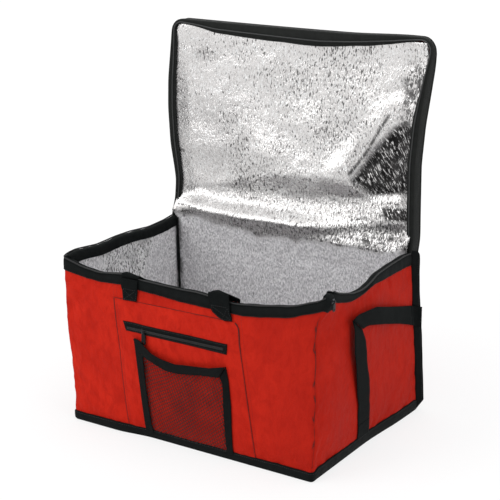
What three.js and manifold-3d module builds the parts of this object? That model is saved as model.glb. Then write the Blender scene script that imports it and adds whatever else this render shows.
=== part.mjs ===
// Soft insulated cooler bag with a hinged, zip-round lid, webbing handles and a front pocket.
// Millimetres. +X to the bag's right seen from the front, +Y to the back, +Z up.
// The origin is the middle of the underside. The lid stands open at rest.

import * as THREE from 'three'
import { mergeVertices } from 'three/addons/utils/BufferGeometryUtils.js'
import Module from 'manifold-3d'

const wasm = await Module()
wasm.setup()

// Overall sizes
const bagWidth = 560
const bagDepth = 370
const rimHeight = 325
const lidLength = 376

// How far the empty bag's rim corners settle from a true box, as [x, y, z]
const settledFrontLeft = [3, 1, -3]
const settledFrontRight = [5, 12, 8]
const settledBackRight = [-9, -5.5, -6.5]
const settledBackLeft = [1, -5.5, -6.5]

// Cloth, foam and board
const clearance = 0.3
const outerCloth = 1.2
const wallFoam = 5
const foilLining = 1
const baseBoard = 2.5
const baseFoam = 5
const webbing = 1.6
const webbingWidth = 38

// Rim band, zip and seam bindings
const bandDrop = 24
const bandThickness = 1.5
const zipRise = 6
const tapeThickness = 1.2
const coilSize = 2.6
const bottomBindingHeight = 17
const bottomBindingThickness = 2.5
const flangeWidth = 17
const flangeThickness = 3.2
const innerSeamWidth = 6

// Back wall and lid
const hingeRise = 26.5
const hingeBeadRadius = 1.5
const hingeFlap = 20
const lidLean = 5.6
const lidDepth = 24
const lidFoam = 6
const lidCornerRadius = 28
const lidLeftBottom = -284
const lidLeftTop = -292
const lidRightBottom = 271
const lidRightTop = 282
const lidBandThickness = 2
const lidTapeWidth = 14
const lidPipingRadius = 2

// Handles on the front and the back
const tabLeft = -130.5
const tabRight = 73
const tabBelowRim = 60.7
const handleDrop = 240
const handleCorner = 70
const handleFoldRadius = 3.4
const handleStandoff = 26
const handleOverRim = 1.45
const hingeBelowRim = 17.15
const backTabBelowRim = 63
const backTabLength = 40

// Side straps, as places forward from the back wall and up from the floor
const strapStandoff = 10
const strapRiseFrom = 60
const strapRiseLength = 170
const strapReachFrom = 19
const strapOuterLine = [
  [224, 52], [231, 100], [244, 150], [262, 207], [283, 272],
  [233, 272], [183, 271], [128, 256], [68, 240], [20, 225],
]
const strapInnerLine = [
  [184, 52], [190, 100], [203, 150], [222, 203], [233, 242],
  [224, 241], [196, 243], [146, 226], [72, 204], [20, 185],
]
const strapEndGap = 0.4

// Front pocket
const panelLeftTop = -160
const panelRightTop = 92
const panelLeftFoot = -139
const panelRightFoot = 146
const pocketZipHeight = 211
const pocketZipLeft = -146
const pocketZipRight = 81
const pocketTapeWidth = 18
const chainWidth = 6
const chainThickness = 2
const toothPitch = 4.2
const meshLeft = -103
const meshRightTop = 80
const meshRightFoot = 98
const meshBelowZip = 29
const meshSlope = 10
const meshSag = 19
const meshThickness = 1
const meshGapTop = 10
const meshGapFoot = 1.4
const meshBindingWidth = 16
const netColumns = 14
const netRows = 9
const netThread = 2.4

// Sliders and pulls
const sliderLength = 13
const sliderWall = 1.6
const sliderPlay = 0.7
const stapleRadius = 0.9
const eyeRadius = 2.6
const eyeBore = 1.5
const eyeWidth = 4
const pocketSliderInset = 53
const mainSliderInset = 13
const pocketPullLength = 24
const mainPullLength = 17
const pullWidth = 9
const pullHole = 1.6
const pullThickness = 1.6

// Derived sizes
const wallThickness = outerCloth + wallFoam + foilLining + 2 * clearance
const wallFoot = outerCloth + clearance
const bandTop = rimHeight - zipRise
const wallTop = bandTop - bandThickness - clearance
const backWallTop = rimHeight + hingeRise - hingeBeadRadius - clearance
const hingeNominal = rimHeight + hingeRise
const halfWidth = bagWidth / 2
const halfDepth = bagDepth / 2
const tabFoot = rimHeight - tabBelowRim
const backTabTop = rimHeight - backTabBelowRim
const backTabFoot = backTabTop - backTabLength
const panelTop = tabFoot - clearance
const meshLeftTop = pocketZipHeight - meshBelowZip
const meshRightHeight = meshLeftTop - meshSlope
const pocketSliderPlace = pocketZipLeft + pocketSliderInset
const mainSliderPlace = -halfDepth + mainSliderInset
const sidePlace = ([forward, up]) => [halfDepth - forward, up]
const strapOuterEdge = strapOuterLine.map(sidePlace)
const strapInnerEdge = strapInnerLine.map(sidePlace)

function finish(color, roughness, metalness = 0) {
  return new THREE.MeshStandardMaterial({ color, roughness, metalness })
}
const redCloth = finish(0xb8261c, 0.75)
const blackTrim = finish(0x202223, 0.7)
const foil = finish(0xc9cbcc, 0.3, 0.9)
const foam = finish(0xe8e8e2, 0.95)
const board = finish(0x8c8c88, 0.8)
const zincMetal = finish(0xb9bcc0, 0.35, 1)
const nylonCoil = finish(0x17181a, 0.5)
const netThreadFinish = finish(0x3a1210, 0.85)

const mix = (a, b, t) => a + (b - a) * t
const at = (x, y, z) => new THREE.Vector3(x, y, z)

// The cloth walls lean and dip between the four settled rim corners, in proportion to the height.
function settle(p) {
  const u = p.x / bagWidth + 0.5
  const v = p.y / bagDepth + 0.5
  const share = p.z / rimHeight
  const shift = [0, 1, 2].map((axis) => {
    const front = mix(settledFrontLeft[axis], settledFrontRight[axis], u)
    const back = mix(settledBackLeft[axis], settledBackRight[axis], u)
    return mix(front, back, v) * share
  })
  return at(p.x + shift[0], p.y + shift[1], p.z + shift[2])
}

// Moves every vertex of a geometry by a function of its place.
function reshape(geometry, move) {
  const place = geometry.getAttribute('position')
  const p = new THREE.Vector3()
  for (let i = 0; i < place.count; i++) {
    p.fromBufferAttribute(place, i)
    const q = move(p)
    place.setXYZ(i, q.x, q.y, q.z)
  }
  return geometry
}

const settled = (geometry) => reshape(geometry, settle)

function signedVolume(positions, index) {
  const a = new THREE.Vector3()
  const b = new THREE.Vector3()
  const c = new THREE.Vector3()
  let volume = 0
  for (let i = 0; i < index.length; i += 3) {
    a.fromArray(positions, index[i] * 3)
    b.fromArray(positions, index[i + 1] * 3)
    c.fromArray(positions, index[i + 2] * 3)
    volume += a.dot(b.cross(c)) / 6
  }
  return volume
}

// A closed solid through rings of points. The profile is one ring drawn flat, which shapes the two end caps.
function loft(rings, profile, closedPath = false) {
  const count = rings[0].length
  const positions = rings.flat().flatMap((p) => [p.x, p.y, p.z])
  const index = []
  const spans = closedPath ? rings.length : rings.length - 1
  for (let i = 0; i < spans; i++) {
    const next = ((i + 1) % rings.length) * count
    for (let j = 0; j < count; j++) {
      const k = (j + 1) % count
      index.push(i * count + j, i * count + k, next + k)
      index.push(i * count + j, next + k, next + j)
    }
  }
  if (!closedPath) {
    const flat = profile.map(([x, y]) => new THREE.Vector2(x, y))
    const last = (rings.length - 1) * count
    for (const [a, b, c] of THREE.ShapeUtils.triangulateShape(flat, [])) {
      const along = THREE.ShapeUtils.isClockWise(flat) ? [a, b, c] : [a, c, b]
      index.push(...along)
      index.push(last + along[0], last + along[2], last + along[1])
    }
  }
  if (signedVolume(positions, index) < 0) {
    for (let i = 0; i < index.length; i += 3) {
      [index[i], index[i + 1]] = [index[i + 1], index[i]]
    }
  }
  const geometry = new THREE.BufferGeometry()
  geometry.setAttribute('position', new THREE.Float32BufferAttribute(positions, 3))
  geometry.setIndex(index)
  return geometry
}

const square = [[0, 0], [1, 0], [1, 1], [0, 1]]

// A block between two corners, cut into cells so that it can follow the settled walls.
function block(x0, x1, y0, y1, z0, z1, cells = [1, 1, 1]) {
  const geometry = new THREE.BoxGeometry(x1 - x0, y1 - y0, z1 - z0, ...cells)
  return geometry.translate((x0 + x1) / 2, (y0 + y1) / 2, (z0 + z1) / 2)
}

function toSolid(geometry) {
  const bare = geometry.clone()
  bare.deleteAttribute('normal')
  bare.deleteAttribute('uv')
  const merged = mergeVertices(bare, 1e-4)
  const index = merged.index.array
  return new wasm.Manifold(new wasm.Mesh({
    numProp: 3,
    vertProperties: new Float32Array(merged.getAttribute('position').array),
    triVerts: new Uint32Array(index),
  }))
}

function fromSolid(solid) {
  const mesh = solid.getMesh()
  const geometry = new THREE.BufferGeometry()
  geometry.setAttribute('position', new THREE.Float32BufferAttribute(mesh.vertProperties, 3))
  geometry.setIndex(Array.from(mesh.triVerts))
  return geometry
}

const joined = (first, ...rest) => fromSolid(rest.reduce((sum, g) => sum.add(toSolid(g)), toSolid(first)))
const cut = (first, ...rest) => fromSolid(rest.reduce((sum, g) => sum.subtract(toSolid(g)), toSolid(first)))

const group = new THREE.Group()

function add(name, geometry, material) {
  const mesh = new THREE.Mesh(geometry, material)
  mesh.name = name
  group.add(mesh)
  return mesh
}

// Walls: each is an outer cloth, a foam sheet and a foil lining, laid one inside the other.
function buildWalls() {
  const layers = [
    { name: 'outer', inset: 0, thickness: outerCloth, foot: wallFoot, material: redCloth },
    { name: 'foam', inset: outerCloth + clearance, thickness: wallFoam, foot: wallFoot, material: foam },
    {
      name: 'lining',
      inset: outerCloth + wallFoam + 2 * clearance,
      thickness: foilLining,
      foot: baseLayers().liningTop + clearance,
      material: foil,
    },
  ]
  const cells = 8
  const rows = 6
  for (const layer of layers) {
    const near = layer.inset
    const far = layer.inset + layer.thickness
    const sideEnd = halfDepth - far - clearance
    for (const [side, sign, top] of [['front', -1, wallTop], ['back', 1, backWallTop]]) {
      const faces = [sign * (halfDepth - near), sign * (halfDepth - far)].sort((a, b) => a - b)
      const edge = halfWidth - near
      const panel = block(-edge, edge, faces[0], faces[1], layer.foot, top, [cells, 1, rows])
      add(`${side}_${layer.name}`, settled(panel), layer.material)
    }
    for (const [side, sign] of [['left', -1], ['right', 1]]) {
      const faces = [sign * (halfWidth - near), sign * (halfWidth - far)].sort((a, b) => a - b)
      const panel = block(faces[0], faces[1], -sideEnd, sideEnd, layer.foot, wallTop, [1, cells, rows])
      add(`${side}_${layer.name}`, settled(panel), layer.material)
    }
  }
}

function baseLayers() {
  const boardTop = wallFoot + baseBoard
  const foamTop = boardTop + clearance + baseFoam
  const liningTop = foamTop + clearance + foilLining
  return { boardTop, foamTop, liningTop }
}

// Base: cloth underneath, a stiff board, foam, and the foil floor.
function buildBase() {
  const { boardTop, foamTop, liningTop } = baseLayers()
  const inFoam = outerCloth + wallFoam + 2 * clearance
  const floor = (inset, low, high) => settled(block(
    -halfWidth + inset, halfWidth - inset, -halfDepth + inset, halfDepth - inset, low, high,
  ))
  add('base_outer', floor(0, 0, outerCloth), redCloth)
  add('base_board', floor(inFoam, wallFoot, boardTop), board)
  add('base_foam', floor(inFoam, boardTop + clearance, foamTop), foam)
  add('base_lining', floor(inFoam, foamTop + clearance, liningTop), foil)
}

function roundedRectangle(halfX, halfY, radius) {
  const shape = new THREE.Shape()
  shape.absarc(halfX - radius, halfY - radius, radius, 0, Math.PI / 2)
  shape.absarc(-halfX + radius, halfY - radius, radius, Math.PI / 2, Math.PI)
  shape.absarc(-halfX + radius, -halfY + radius, radius, Math.PI, 1.5 * Math.PI)
  shape.absarc(halfX - radius, -halfY + radius, radius, 1.5 * Math.PI, 2 * Math.PI)
  return shape
}

// The bound seam that runs round the foot of the bag.
function buildBottomBinding() {
  const outer = clearance + bottomBindingThickness
  const shape = roundedRectangle(halfWidth + outer, halfDepth + outer, outer)
  shape.holes.push(roundedRectangle(halfWidth + clearance, halfDepth + clearance, clearance))
  const ring = new THREE.ExtrudeGeometry(shape, {
    depth: bottomBindingHeight,
    bevelEnabled: false,
    curveSegments: 3,
  })
  add('bottom_binding', settled(ring), blackTrim)
}

// The back corners end in bound seams that stand out on the diagonal, and thin bound seams inside.
function buildBackSeams() {
  const foot = bottomBindingHeight + clearance
  for (const [side, sign] of [['left', -1], ['right', 1]]) {
    const root = flangeThickness / 2 + 2 * clearance
    const fin = block(root, root + flangeWidth, -flangeThickness / 2, flangeThickness / 2, foot, bandTop, [1, 1, 4])
    fin.rotateZ(sign > 0 ? Math.PI / 4 : 0.75 * Math.PI)
    fin.translate(sign * halfWidth, halfDepth, 0)
    add(`back_${side}_seam`, settled(fin), blackTrim)

    const corner = wallThickness + clearance
    const inner = baseLayers().liningTop + 2 * clearance
    const x0 = sign * (halfWidth - corner)
    const y0 = halfDepth - corner
    const across = [x0, x0 - sign * innerSeamWidth].sort((a, b) => a - b)
    const thin = [x0, x0 - sign * foilLining].sort((a, b) => a - b)
    const legs = joined(
      block(across[0], across[1], y0 - foilLining, y0, inner, wallTop - bandDrop, [1, 1, 4]),
      block(thin[0], thin[1], y0 - innerSeamWidth, y0, inner, wallTop - bandDrop, [1, 1, 4]),
    )
    add(`inner_${side}_seam`, settled(legs), blackTrim)
  }
}

// Cross-section of the band that wraps the rim: outside leg, fold over the top, inside leg.
function bandProfile() {
  const out = clearance + bandThickness
  const inn = -wallThickness - clearance - bandThickness
  const foot = rimHeight - bandDrop
  return [
    [out, foot], [out, bandTop - 1], [out - 1, bandTop], [inn + 1, bandTop], [inn, bandTop - 1], [inn, foot],
    [inn + bandThickness, foot], [inn + bandThickness, wallTop + clearance],
    [clearance, wallTop + clearance], [clearance, foot],
  ]
}

// Cross-section of the open half of the lid zip, standing on the band's outside edge.
function rimZipProfile() {
  const middle = rimZipMiddle()
  const half = tapeThickness / 2
  const coil = coilSize / 2
  const foot = bandTop + clearance
  const coilFoot = rimHeight - coilSize
  return [
    [middle + half, foot], [middle + half, coilFoot], [middle + coil, coilFoot + 0.6],
    [middle + coil, rimHeight - 0.6], [middle + 0.7, rimHeight], [middle - 0.7, rimHeight],
    [middle - coil, rimHeight - 0.6], [middle - coil, coilFoot + 0.6], [middle - half, coilFoot],
    [middle - half, foot],
  ]
}

const rimZipMiddle = () => clearance + bandThickness / 2 - 0.6

// Carries a cross-section of [outward, up] points along one side of the rim.
function alongFront(profile, from, to, stations = 8) {
  const rings = []
  for (let i = 0; i <= stations; i++) {
    const x = mix(from, to, i / stations)
    rings.push(profile.map(([out, up]) => settle(at(x, -halfDepth - out, up))))
  }
  return loft(rings, profile)
}

function alongSide(profile, sign, from, to, stations = 8) {
  const rings = []
  for (let i = 0; i <= stations; i++) {
    const y = mix(from, to, i / stations)
    rings.push(profile.map(([out, up]) => settle(at(sign * (halfWidth + out), y, up))))
  }
  return loft(rings, profile)
}

function buildRim() {
  const inside = wallThickness + clearance + bandThickness
  const frontEdge = halfWidth
  const innerEdge = halfWidth - inside - clearance
  const profile = bandProfile()
  const legFoot = rimHeight - bandDrop
  const whole = alongFront(profile, -frontEdge, frontEdge)
  const trims = [-1, 1].map((sign) => {
    const ends = [sign * innerEdge, sign * (frontEdge + 5)].sort((a, b) => a - b)
    const span = [-halfDepth + 1, -halfDepth + inside + 5]
    return settled(block(ends[0], ends[1], ...span, legFoot - 1, wallTop + clearance, [1, 1, 1]))
  })
  add('rim_band_front', cut(whole, ...trims), blackTrim)
  const zip = rimZipProfile()
  const zipEnd = halfWidth - 2
  add('rim_zip_front', alongFront(zip, -zipEnd, zipEnd), nylonCoil)
  const sideStart = -halfDepth + inside + clearance
  const sideEnd = halfDepth - wallThickness - clearance
  for (const [side, sign] of [['left', -1], ['right', 1]]) {
    add(`rim_band_${side}`, alongSide(profile, sign, sideStart, sideEnd), blackTrim)
    add(`rim_zip_${side}`, alongSide(zip, sign, sideStart, sideEnd), nylonCoil)
  }
}

// A flat strap between two edge lines, thickened along a direction.
function strapBetween(edgeA, edgeB, normal, thickness) {
  const rings = edgeA.map((a, i) => {
    const b = edgeB[i]
    const n = typeof normal === 'function' ? normal(i) : normal
    const lift = n.clone().multiplyScalar(thickness)
    return [a.clone(), b.clone(), b.clone().add(lift), a.clone().add(lift)]
  })
  return loft(rings, square)
}

const wallOffset = (out) => -halfDepth - out
const tabOut = clearance + bandThickness + clearance
const handlePivotHeight = rimHeight - hingeBelowRim
const handlePivotOut = tabOut + webbing + clearance

// A tab of webbing, flat on the front cloth and stepping out over the rim band.
function frontTab(centre) {
  const route = [
    [clearance, tabFoot], [clearance, rimHeight - bandDrop - 4], [tabOut, rimHeight - bandDrop - 0.5],
    [tabOut, handlePivotHeight - clearance / 2],
  ]
  const edge = (sign) => route.map(([out, up]) => settle(at(centre + sign * webbingWidth / 2, wallOffset(out), up)))
  return strapBetween(edge(-1), edge(1), at(0, -1, 0), webbing)
}

// The half of a handle that the mirror image completes: one leg's route as [in from the pivot, above the pivot].
function hookRoute() {
  const reach = handleStandoff + webbing
  const top = hingeBelowRim + handleOverRim + webbing
  const bend = handleFoldRadius
  const steps = 4
  const route = [[clearance, clearance], [clearance, top - bend]]
  for (let i = 1; i <= steps; i++) {
    const angle = (i / steps) * Math.PI / 2
    route.push([clearance + bend * (1 - Math.cos(angle)), top - bend + bend * Math.sin(angle)])
  }
  for (let i = 0; i <= steps; i++) {
    const angle = (i / steps) * Math.PI / 2
    route.push([reach - bend + bend * Math.sin(angle), top - bend + bend * Math.cos(angle)])
  }
  return route
}

// A handle loop: both legs and the carrying stretch lie in one plane, and its ends follow the given hook.
function handleLoop(place, hook, drop) {
  const stations = []
  const half = webbingWidth / 2
  const radius = handleCorner
  const [hookIn] = hook[hook.length - 1]
  for (const [inward, up] of hook) {
    stations.push([tabLeft - half, inward, up, tabLeft + half, inward, up])
  }
  const lift = (x, z) => [x, hookIn, z]
  const turn = (centreX, centreZ, from, to) => {
    for (let i = 0; i <= 6; i++) {
      const angle = mix(from, to, i / 6)
      const outer = lift(centreX + (radius + half) * Math.cos(angle), centreZ + (radius + half) * Math.sin(angle))
      const inner = lift(centreX + (radius - half) * Math.cos(angle), centreZ + (radius - half) * Math.sin(angle))
      stations.push([...outer, ...inner])
    }
  }
  const low = -drop + radius
  turn(tabLeft + radius, low, Math.PI, 1.5 * Math.PI)
  turn(tabRight - radius, low, 1.5 * Math.PI, 2 * Math.PI)
  for (const [inward, up] of [...hook].reverse()) {
    stations.push([tabRight + half, inward, up, tabRight - half, inward, up])
  }
  const outerEdge = stations.map(([x, inward, up]) => at(x, inward, up))
  const innerEdge = stations.map(([, , , x, inward, up]) => at(x, inward, up))
  const tangent = (i) => {
    const before = outerEdge[Math.max(i - 1, 0)].clone().add(innerEdge[Math.max(i - 1, 0)])
    const last = outerEdge.length - 1
    const after = outerEdge[Math.min(i + 1, last)].clone().add(innerEdge[Math.min(i + 1, last)])
    return after.sub(before).normalize()
  }
  const normal = (i) => {
    const across = innerEdge[i].clone().sub(outerEdge[i]).normalize()
    return tangent(i).cross(across).normalize()
  }
  return reshape(strapBetween(outerEdge, innerEdge, normal, webbing), place)
}

function buildFrontHandle() {
  add('front_tab_left', frontTab(tabLeft), blackTrim)
  add('front_tab_right', frontTab(tabRight), blackTrim)
  const place = (p) => settle(at(p.x, wallOffset(handlePivotOut) + p.y, handlePivotHeight + p.z))
  add('front_handle', handleLoop(place, hookRoute(), handleDrop), blackTrim)
}

// The back handle hangs down outside the back wall from two short tabs.
function buildBackHandle() {
  for (const [side, centre] of [['left', tabLeft], ['right', tabRight]]) {
    const patch = block(
      centre - webbingWidth / 2, centre + webbingWidth / 2,
      halfDepth + clearance, halfDepth + clearance + webbing, backTabFoot, backTabTop, [2, 1, 2],
    )
    add(`back_tab_${side}`, settled(patch), blackTrim)
  }
  const face = halfDepth + clearance + webbing
  const place = (p) => settle(at(p.x, face + clearance + p.y, backTabTop + p.z))
  const hook = [[clearance + webbing, -clearance], [clearance + webbing, -20], [clearance + webbing + 2, -45]]
  add('back_handle', handleLoop(place, hook, handleDrop - 20), blackTrim)
}

// How far a side strap stands off the wall: nothing at its sewn ends, most at its folded corner.
function strapLift(y, z) {
  const risen = THREE.MathUtils.smoothstep(z, strapRiseFrom, strapRiseFrom + strapRiseLength)
  const reached = THREE.MathUtils.smoothstep(halfDepth - y, strapReachFrom, strapReachFrom + strapRiseLength)
  return clearance + strapStandoff * Math.min(risen, reached)
}

function buildSideStraps() {
  for (const [side, sign] of [['left', -1], ['right', 1]]) {
    const wall = (y, z, out) => settle(at(sign * (halfWidth + out), y, z))
    const edge = (line, extra) => line.map(([y, z]) => wall(y, z, strapLift(y, z) + extra))
    const rings = strapOuterEdge.map((_, i) => [
      edge(strapOuterEdge, 0)[i], edge(strapInnerEdge, 0)[i],
      edge(strapInnerEdge, webbing)[i], edge(strapOuterEdge, webbing)[i],
    ])
    add(`${side}_side_strap`, loft(rings, square), blackTrim)

    const [outerLow, innerLow] = [strapOuterEdge[0], strapInnerEdge[0]]
    const footZ = bottomBindingHeight + clearance
    const topZ = outerLow[1] - strapEndGap
    const low = [footZ, topZ].map((z) => [
      wall(outerLow[0], z, clearance), wall(innerLow[0], z, clearance),
      wall(innerLow[0], z, clearance + webbing), wall(outerLow[0], z, clearance + webbing),
    ])
    add(`${side}_strap_foot`, loft(low, square), blackTrim)

    const last = strapOuterEdge.length - 1
    const [topEnd, bottomEnd] = [strapOuterEdge[last], strapInnerEdge[last]]
    const start = topEnd[0] + strapEndGap
    const fin = (flangeThickness / 2 + clearance) * Math.SQRT2
    const tip = (flangeWidth - 4) / Math.SQRT2
    const near = [[clearance, start], [clearance, halfDepth - fin - 1], [tip + fin, halfDepth + tip - 1]]
    const thick = webbing * 0.7
    const far = [
      [clearance + webbing, start], [clearance + webbing, halfDepth - fin - 2.2],
      [tip + fin + thick, halfDepth + tip - 1 - thick],
    ]
    const slope = (topEnd[1] - strapOuterEdge[last - 1][1]) / (topEnd[0] - strapOuterEdge[last - 1][0])
    const ends = near.map(([out, y], i) => {
      const [farOut, farY] = far[i]
      const high = topEnd[1] + slope * (y - topEnd[0])
      const lower = bottomEnd[1] + slope * (y - bottomEnd[0])
      return [wall(y, high, out), wall(y, lower, out), wall(farY, lower, farOut), wall(farY, high, farOut)]
    })
    add(`${side}_strap_back_end`, loft(ends, square), blackTrim)
  }
}

const panelOut = 2 * clearance + outerCloth
const tapeOut = panelOut + clearance
const chainOut = tapeOut + 1 + clearance

// A sheet on the front wall between left and right edges that run from foot to top.
function frontSheet(foot, top, leftFoot, leftTop, rightFoot, rightTop, out, thickness, cells = 4) {
  const sheet = block(0, 1, 0, 1, 0, 1, [cells, 1, cells])
  return settled(reshape(sheet, (p) => {
    const left = mix(leftFoot, leftTop, p.z)
    const right = mix(rightFoot, rightTop, p.z)
    return at(mix(left, right, p.x), wallOffset(out + (1 - p.y) * thickness), mix(foot, top, p.z))
  }))
}

// A zip chain as one comb-edged strip: teeth stand out of both edges at an even pitch.
function zipChain(length, width, thickness) {
  const outline = new THREE.Shape()
  const half = width / 2
  const root = half - 0.8
  const count = Math.floor(length / toothPitch)
  const start = -count * toothPitch / 2
  outline.moveTo(start, -root)
  for (let i = 0; i < count; i++) {
    const x = start + i * toothPitch
    outline.lineTo(x + toothPitch * 0.25, -root)
    outline.lineTo(x + toothPitch * 0.25, -half)
    outline.lineTo(x + toothPitch * 0.75, -half)
    outline.lineTo(x + toothPitch * 0.75, -root)
  }
  outline.lineTo(-start, -root)
  outline.lineTo(-start, root)
  for (let i = count - 1; i >= 0; i--) {
    const x = start + i * toothPitch
    outline.lineTo(x + toothPitch * 0.75, root)
    outline.lineTo(x + toothPitch * 0.75, half)
    outline.lineTo(x + toothPitch * 0.25, half)
    outline.lineTo(x + toothPitch * 0.25, root)
  }
  outline.lineTo(start, root)
  return new THREE.ExtrudeGeometry(outline, { depth: thickness, bevelEnabled: false })
}

// Two posts and a bar that a pull's eye goes round. The bar lies on X, and the posts run towards +Y.
function staple(reach) {
  const span = eyeWidth / 2 + clearance
  const post = 1.2
  const bar = new THREE.CylinderGeometry(stapleRadius, stapleRadius, 2 * (span + post), 8)
  bar.rotateZ(Math.PI / 2)
  const posts = [-1, 1].map((sign) => {
    const ends = [sign * span, sign * (span + post)].sort((a, b) => a - b)
    return block(ends[0], ends[1], 0, reach + 0.4, -stapleRadius, stapleRadius)
  })
  return joined(bar, ...posts)
}

// A pull that hangs from a bar on X: an eye with a flat tongue below it.
function pull(length) {
  const ring = new THREE.Shape()
  ring.absarc(0, 0, eyeRadius, 0, 2 * Math.PI)
  const bore = new THREE.Path()
  bore.absarc(0, 0, eyeBore, 0, 2 * Math.PI)
  ring.holes.push(bore)
  const eye = new THREE.ExtrudeGeometry(ring, { depth: eyeWidth, bevelEnabled: false, curveSegments: 8 })
  eye.translate(0, 0, -eyeWidth / 2)
  eye.rotateY(Math.PI / 2)
  const half = pullWidth / 2
  const tongue = new THREE.Shape()
  tongue.moveTo(-eyeWidth / 2, -eyeBore - 0.3)
  tongue.lineTo(-half, -eyeRadius - 3)
  tongue.lineTo(-half, -length + 2)
  tongue.quadraticCurveTo(-half, -length, 0, -length)
  tongue.quadraticCurveTo(half, -length, half, -length + 2)
  tongue.lineTo(half, -eyeRadius - 3)
  tongue.lineTo(eyeWidth / 2, -eyeBore - 0.3)
  const hole = new THREE.Path()
  hole.absarc(0, 2 * pullHole - length, pullHole, 0, 2 * Math.PI)
  tongue.holes.push(hole)
  const flat = new THREE.ExtrudeGeometry(tongue, { depth: pullThickness, bevelEnabled: false, curveSegments: 3 })
  flat.translate(0, 0, -pullThickness / 2)
  flat.rotateX(Math.PI / 2)
  return joined(eye, flat)
}

function buildPocket() {
  const foot = bottomBindingHeight + clearance
  add('pocket_panel', frontSheet(
    foot, panelTop, panelLeftFoot, panelLeftTop, panelRightFoot, panelRightTop, clearance, outerCloth, 6,
  ), redCloth)
  const low = pocketZipHeight - pocketTapeWidth / 2
  const high = pocketZipHeight + pocketTapeWidth / 2
  add('pocket_zip_tape', frontSheet(
    low, high, pocketZipLeft, pocketZipLeft, pocketZipRight, pocketZipRight, panelOut, 1,
  ), blackTrim)

  const middle = (pocketZipLeft + pocketZipRight) / 2
  const chain = zipChain(pocketZipRight - pocketZipLeft - 12, chainWidth, chainThickness)
  chain.rotateX(Math.PI / 2)
  chain.translate(middle, wallOffset(chainOut), pocketZipHeight)
  add('pocket_zip_chain', settled(chain), nylonCoil)

  const inner = chainWidth / 2 + sliderPlay
  const outer = inner + sliderWall
  const shell = chainOut + chainThickness + sliderPlay
  const profile = [
    [-outer, chainOut], [-outer, shell + sliderWall], [outer, shell + sliderWall], [outer, chainOut],
    [inner, chainOut], [inner, shell], [-inner, shell], [-inner, chainOut],
  ]
  const rings = [-1, 1].map((sign) => profile.map(([up, out]) => (
    at(pocketSliderPlace + sign * sliderLength / 2, wallOffset(out), pocketZipHeight + up)
  )))
  const bar = pocketPullBar()
  const loop = staple(bar.reach).translate(bar.x, bar.y, bar.z)
  add('pocket_slider', settled(joined(loft(rings, profile), loop)), zincMetal)
  add('pocket_pull', settled(pull(pocketPullLength).translate(bar.x, bar.y, bar.z)), zincMetal)
}

function pocketPullBar() {
  const shell = chainOut + chainThickness + sliderPlay + sliderWall
  const reach = eyeRadius + clearance
  return { x: pocketSliderPlace, y: wallOffset(shell + reach), z: pocketZipHeight, reach }
}

const meshTop = (x) => {
  const t = (x - meshLeft) / (meshRightTop - meshLeft)
  return mix(meshLeftTop, meshRightHeight, t) - meshSag * 4 * t * (1 - t)
}
const meshRight = (z) => mix(meshRightFoot, meshRightTop, z / meshRightHeight)
const meshOut = (z) => panelOut + mix(meshGapFoot, meshGapTop, z / meshRightHeight)

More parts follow.
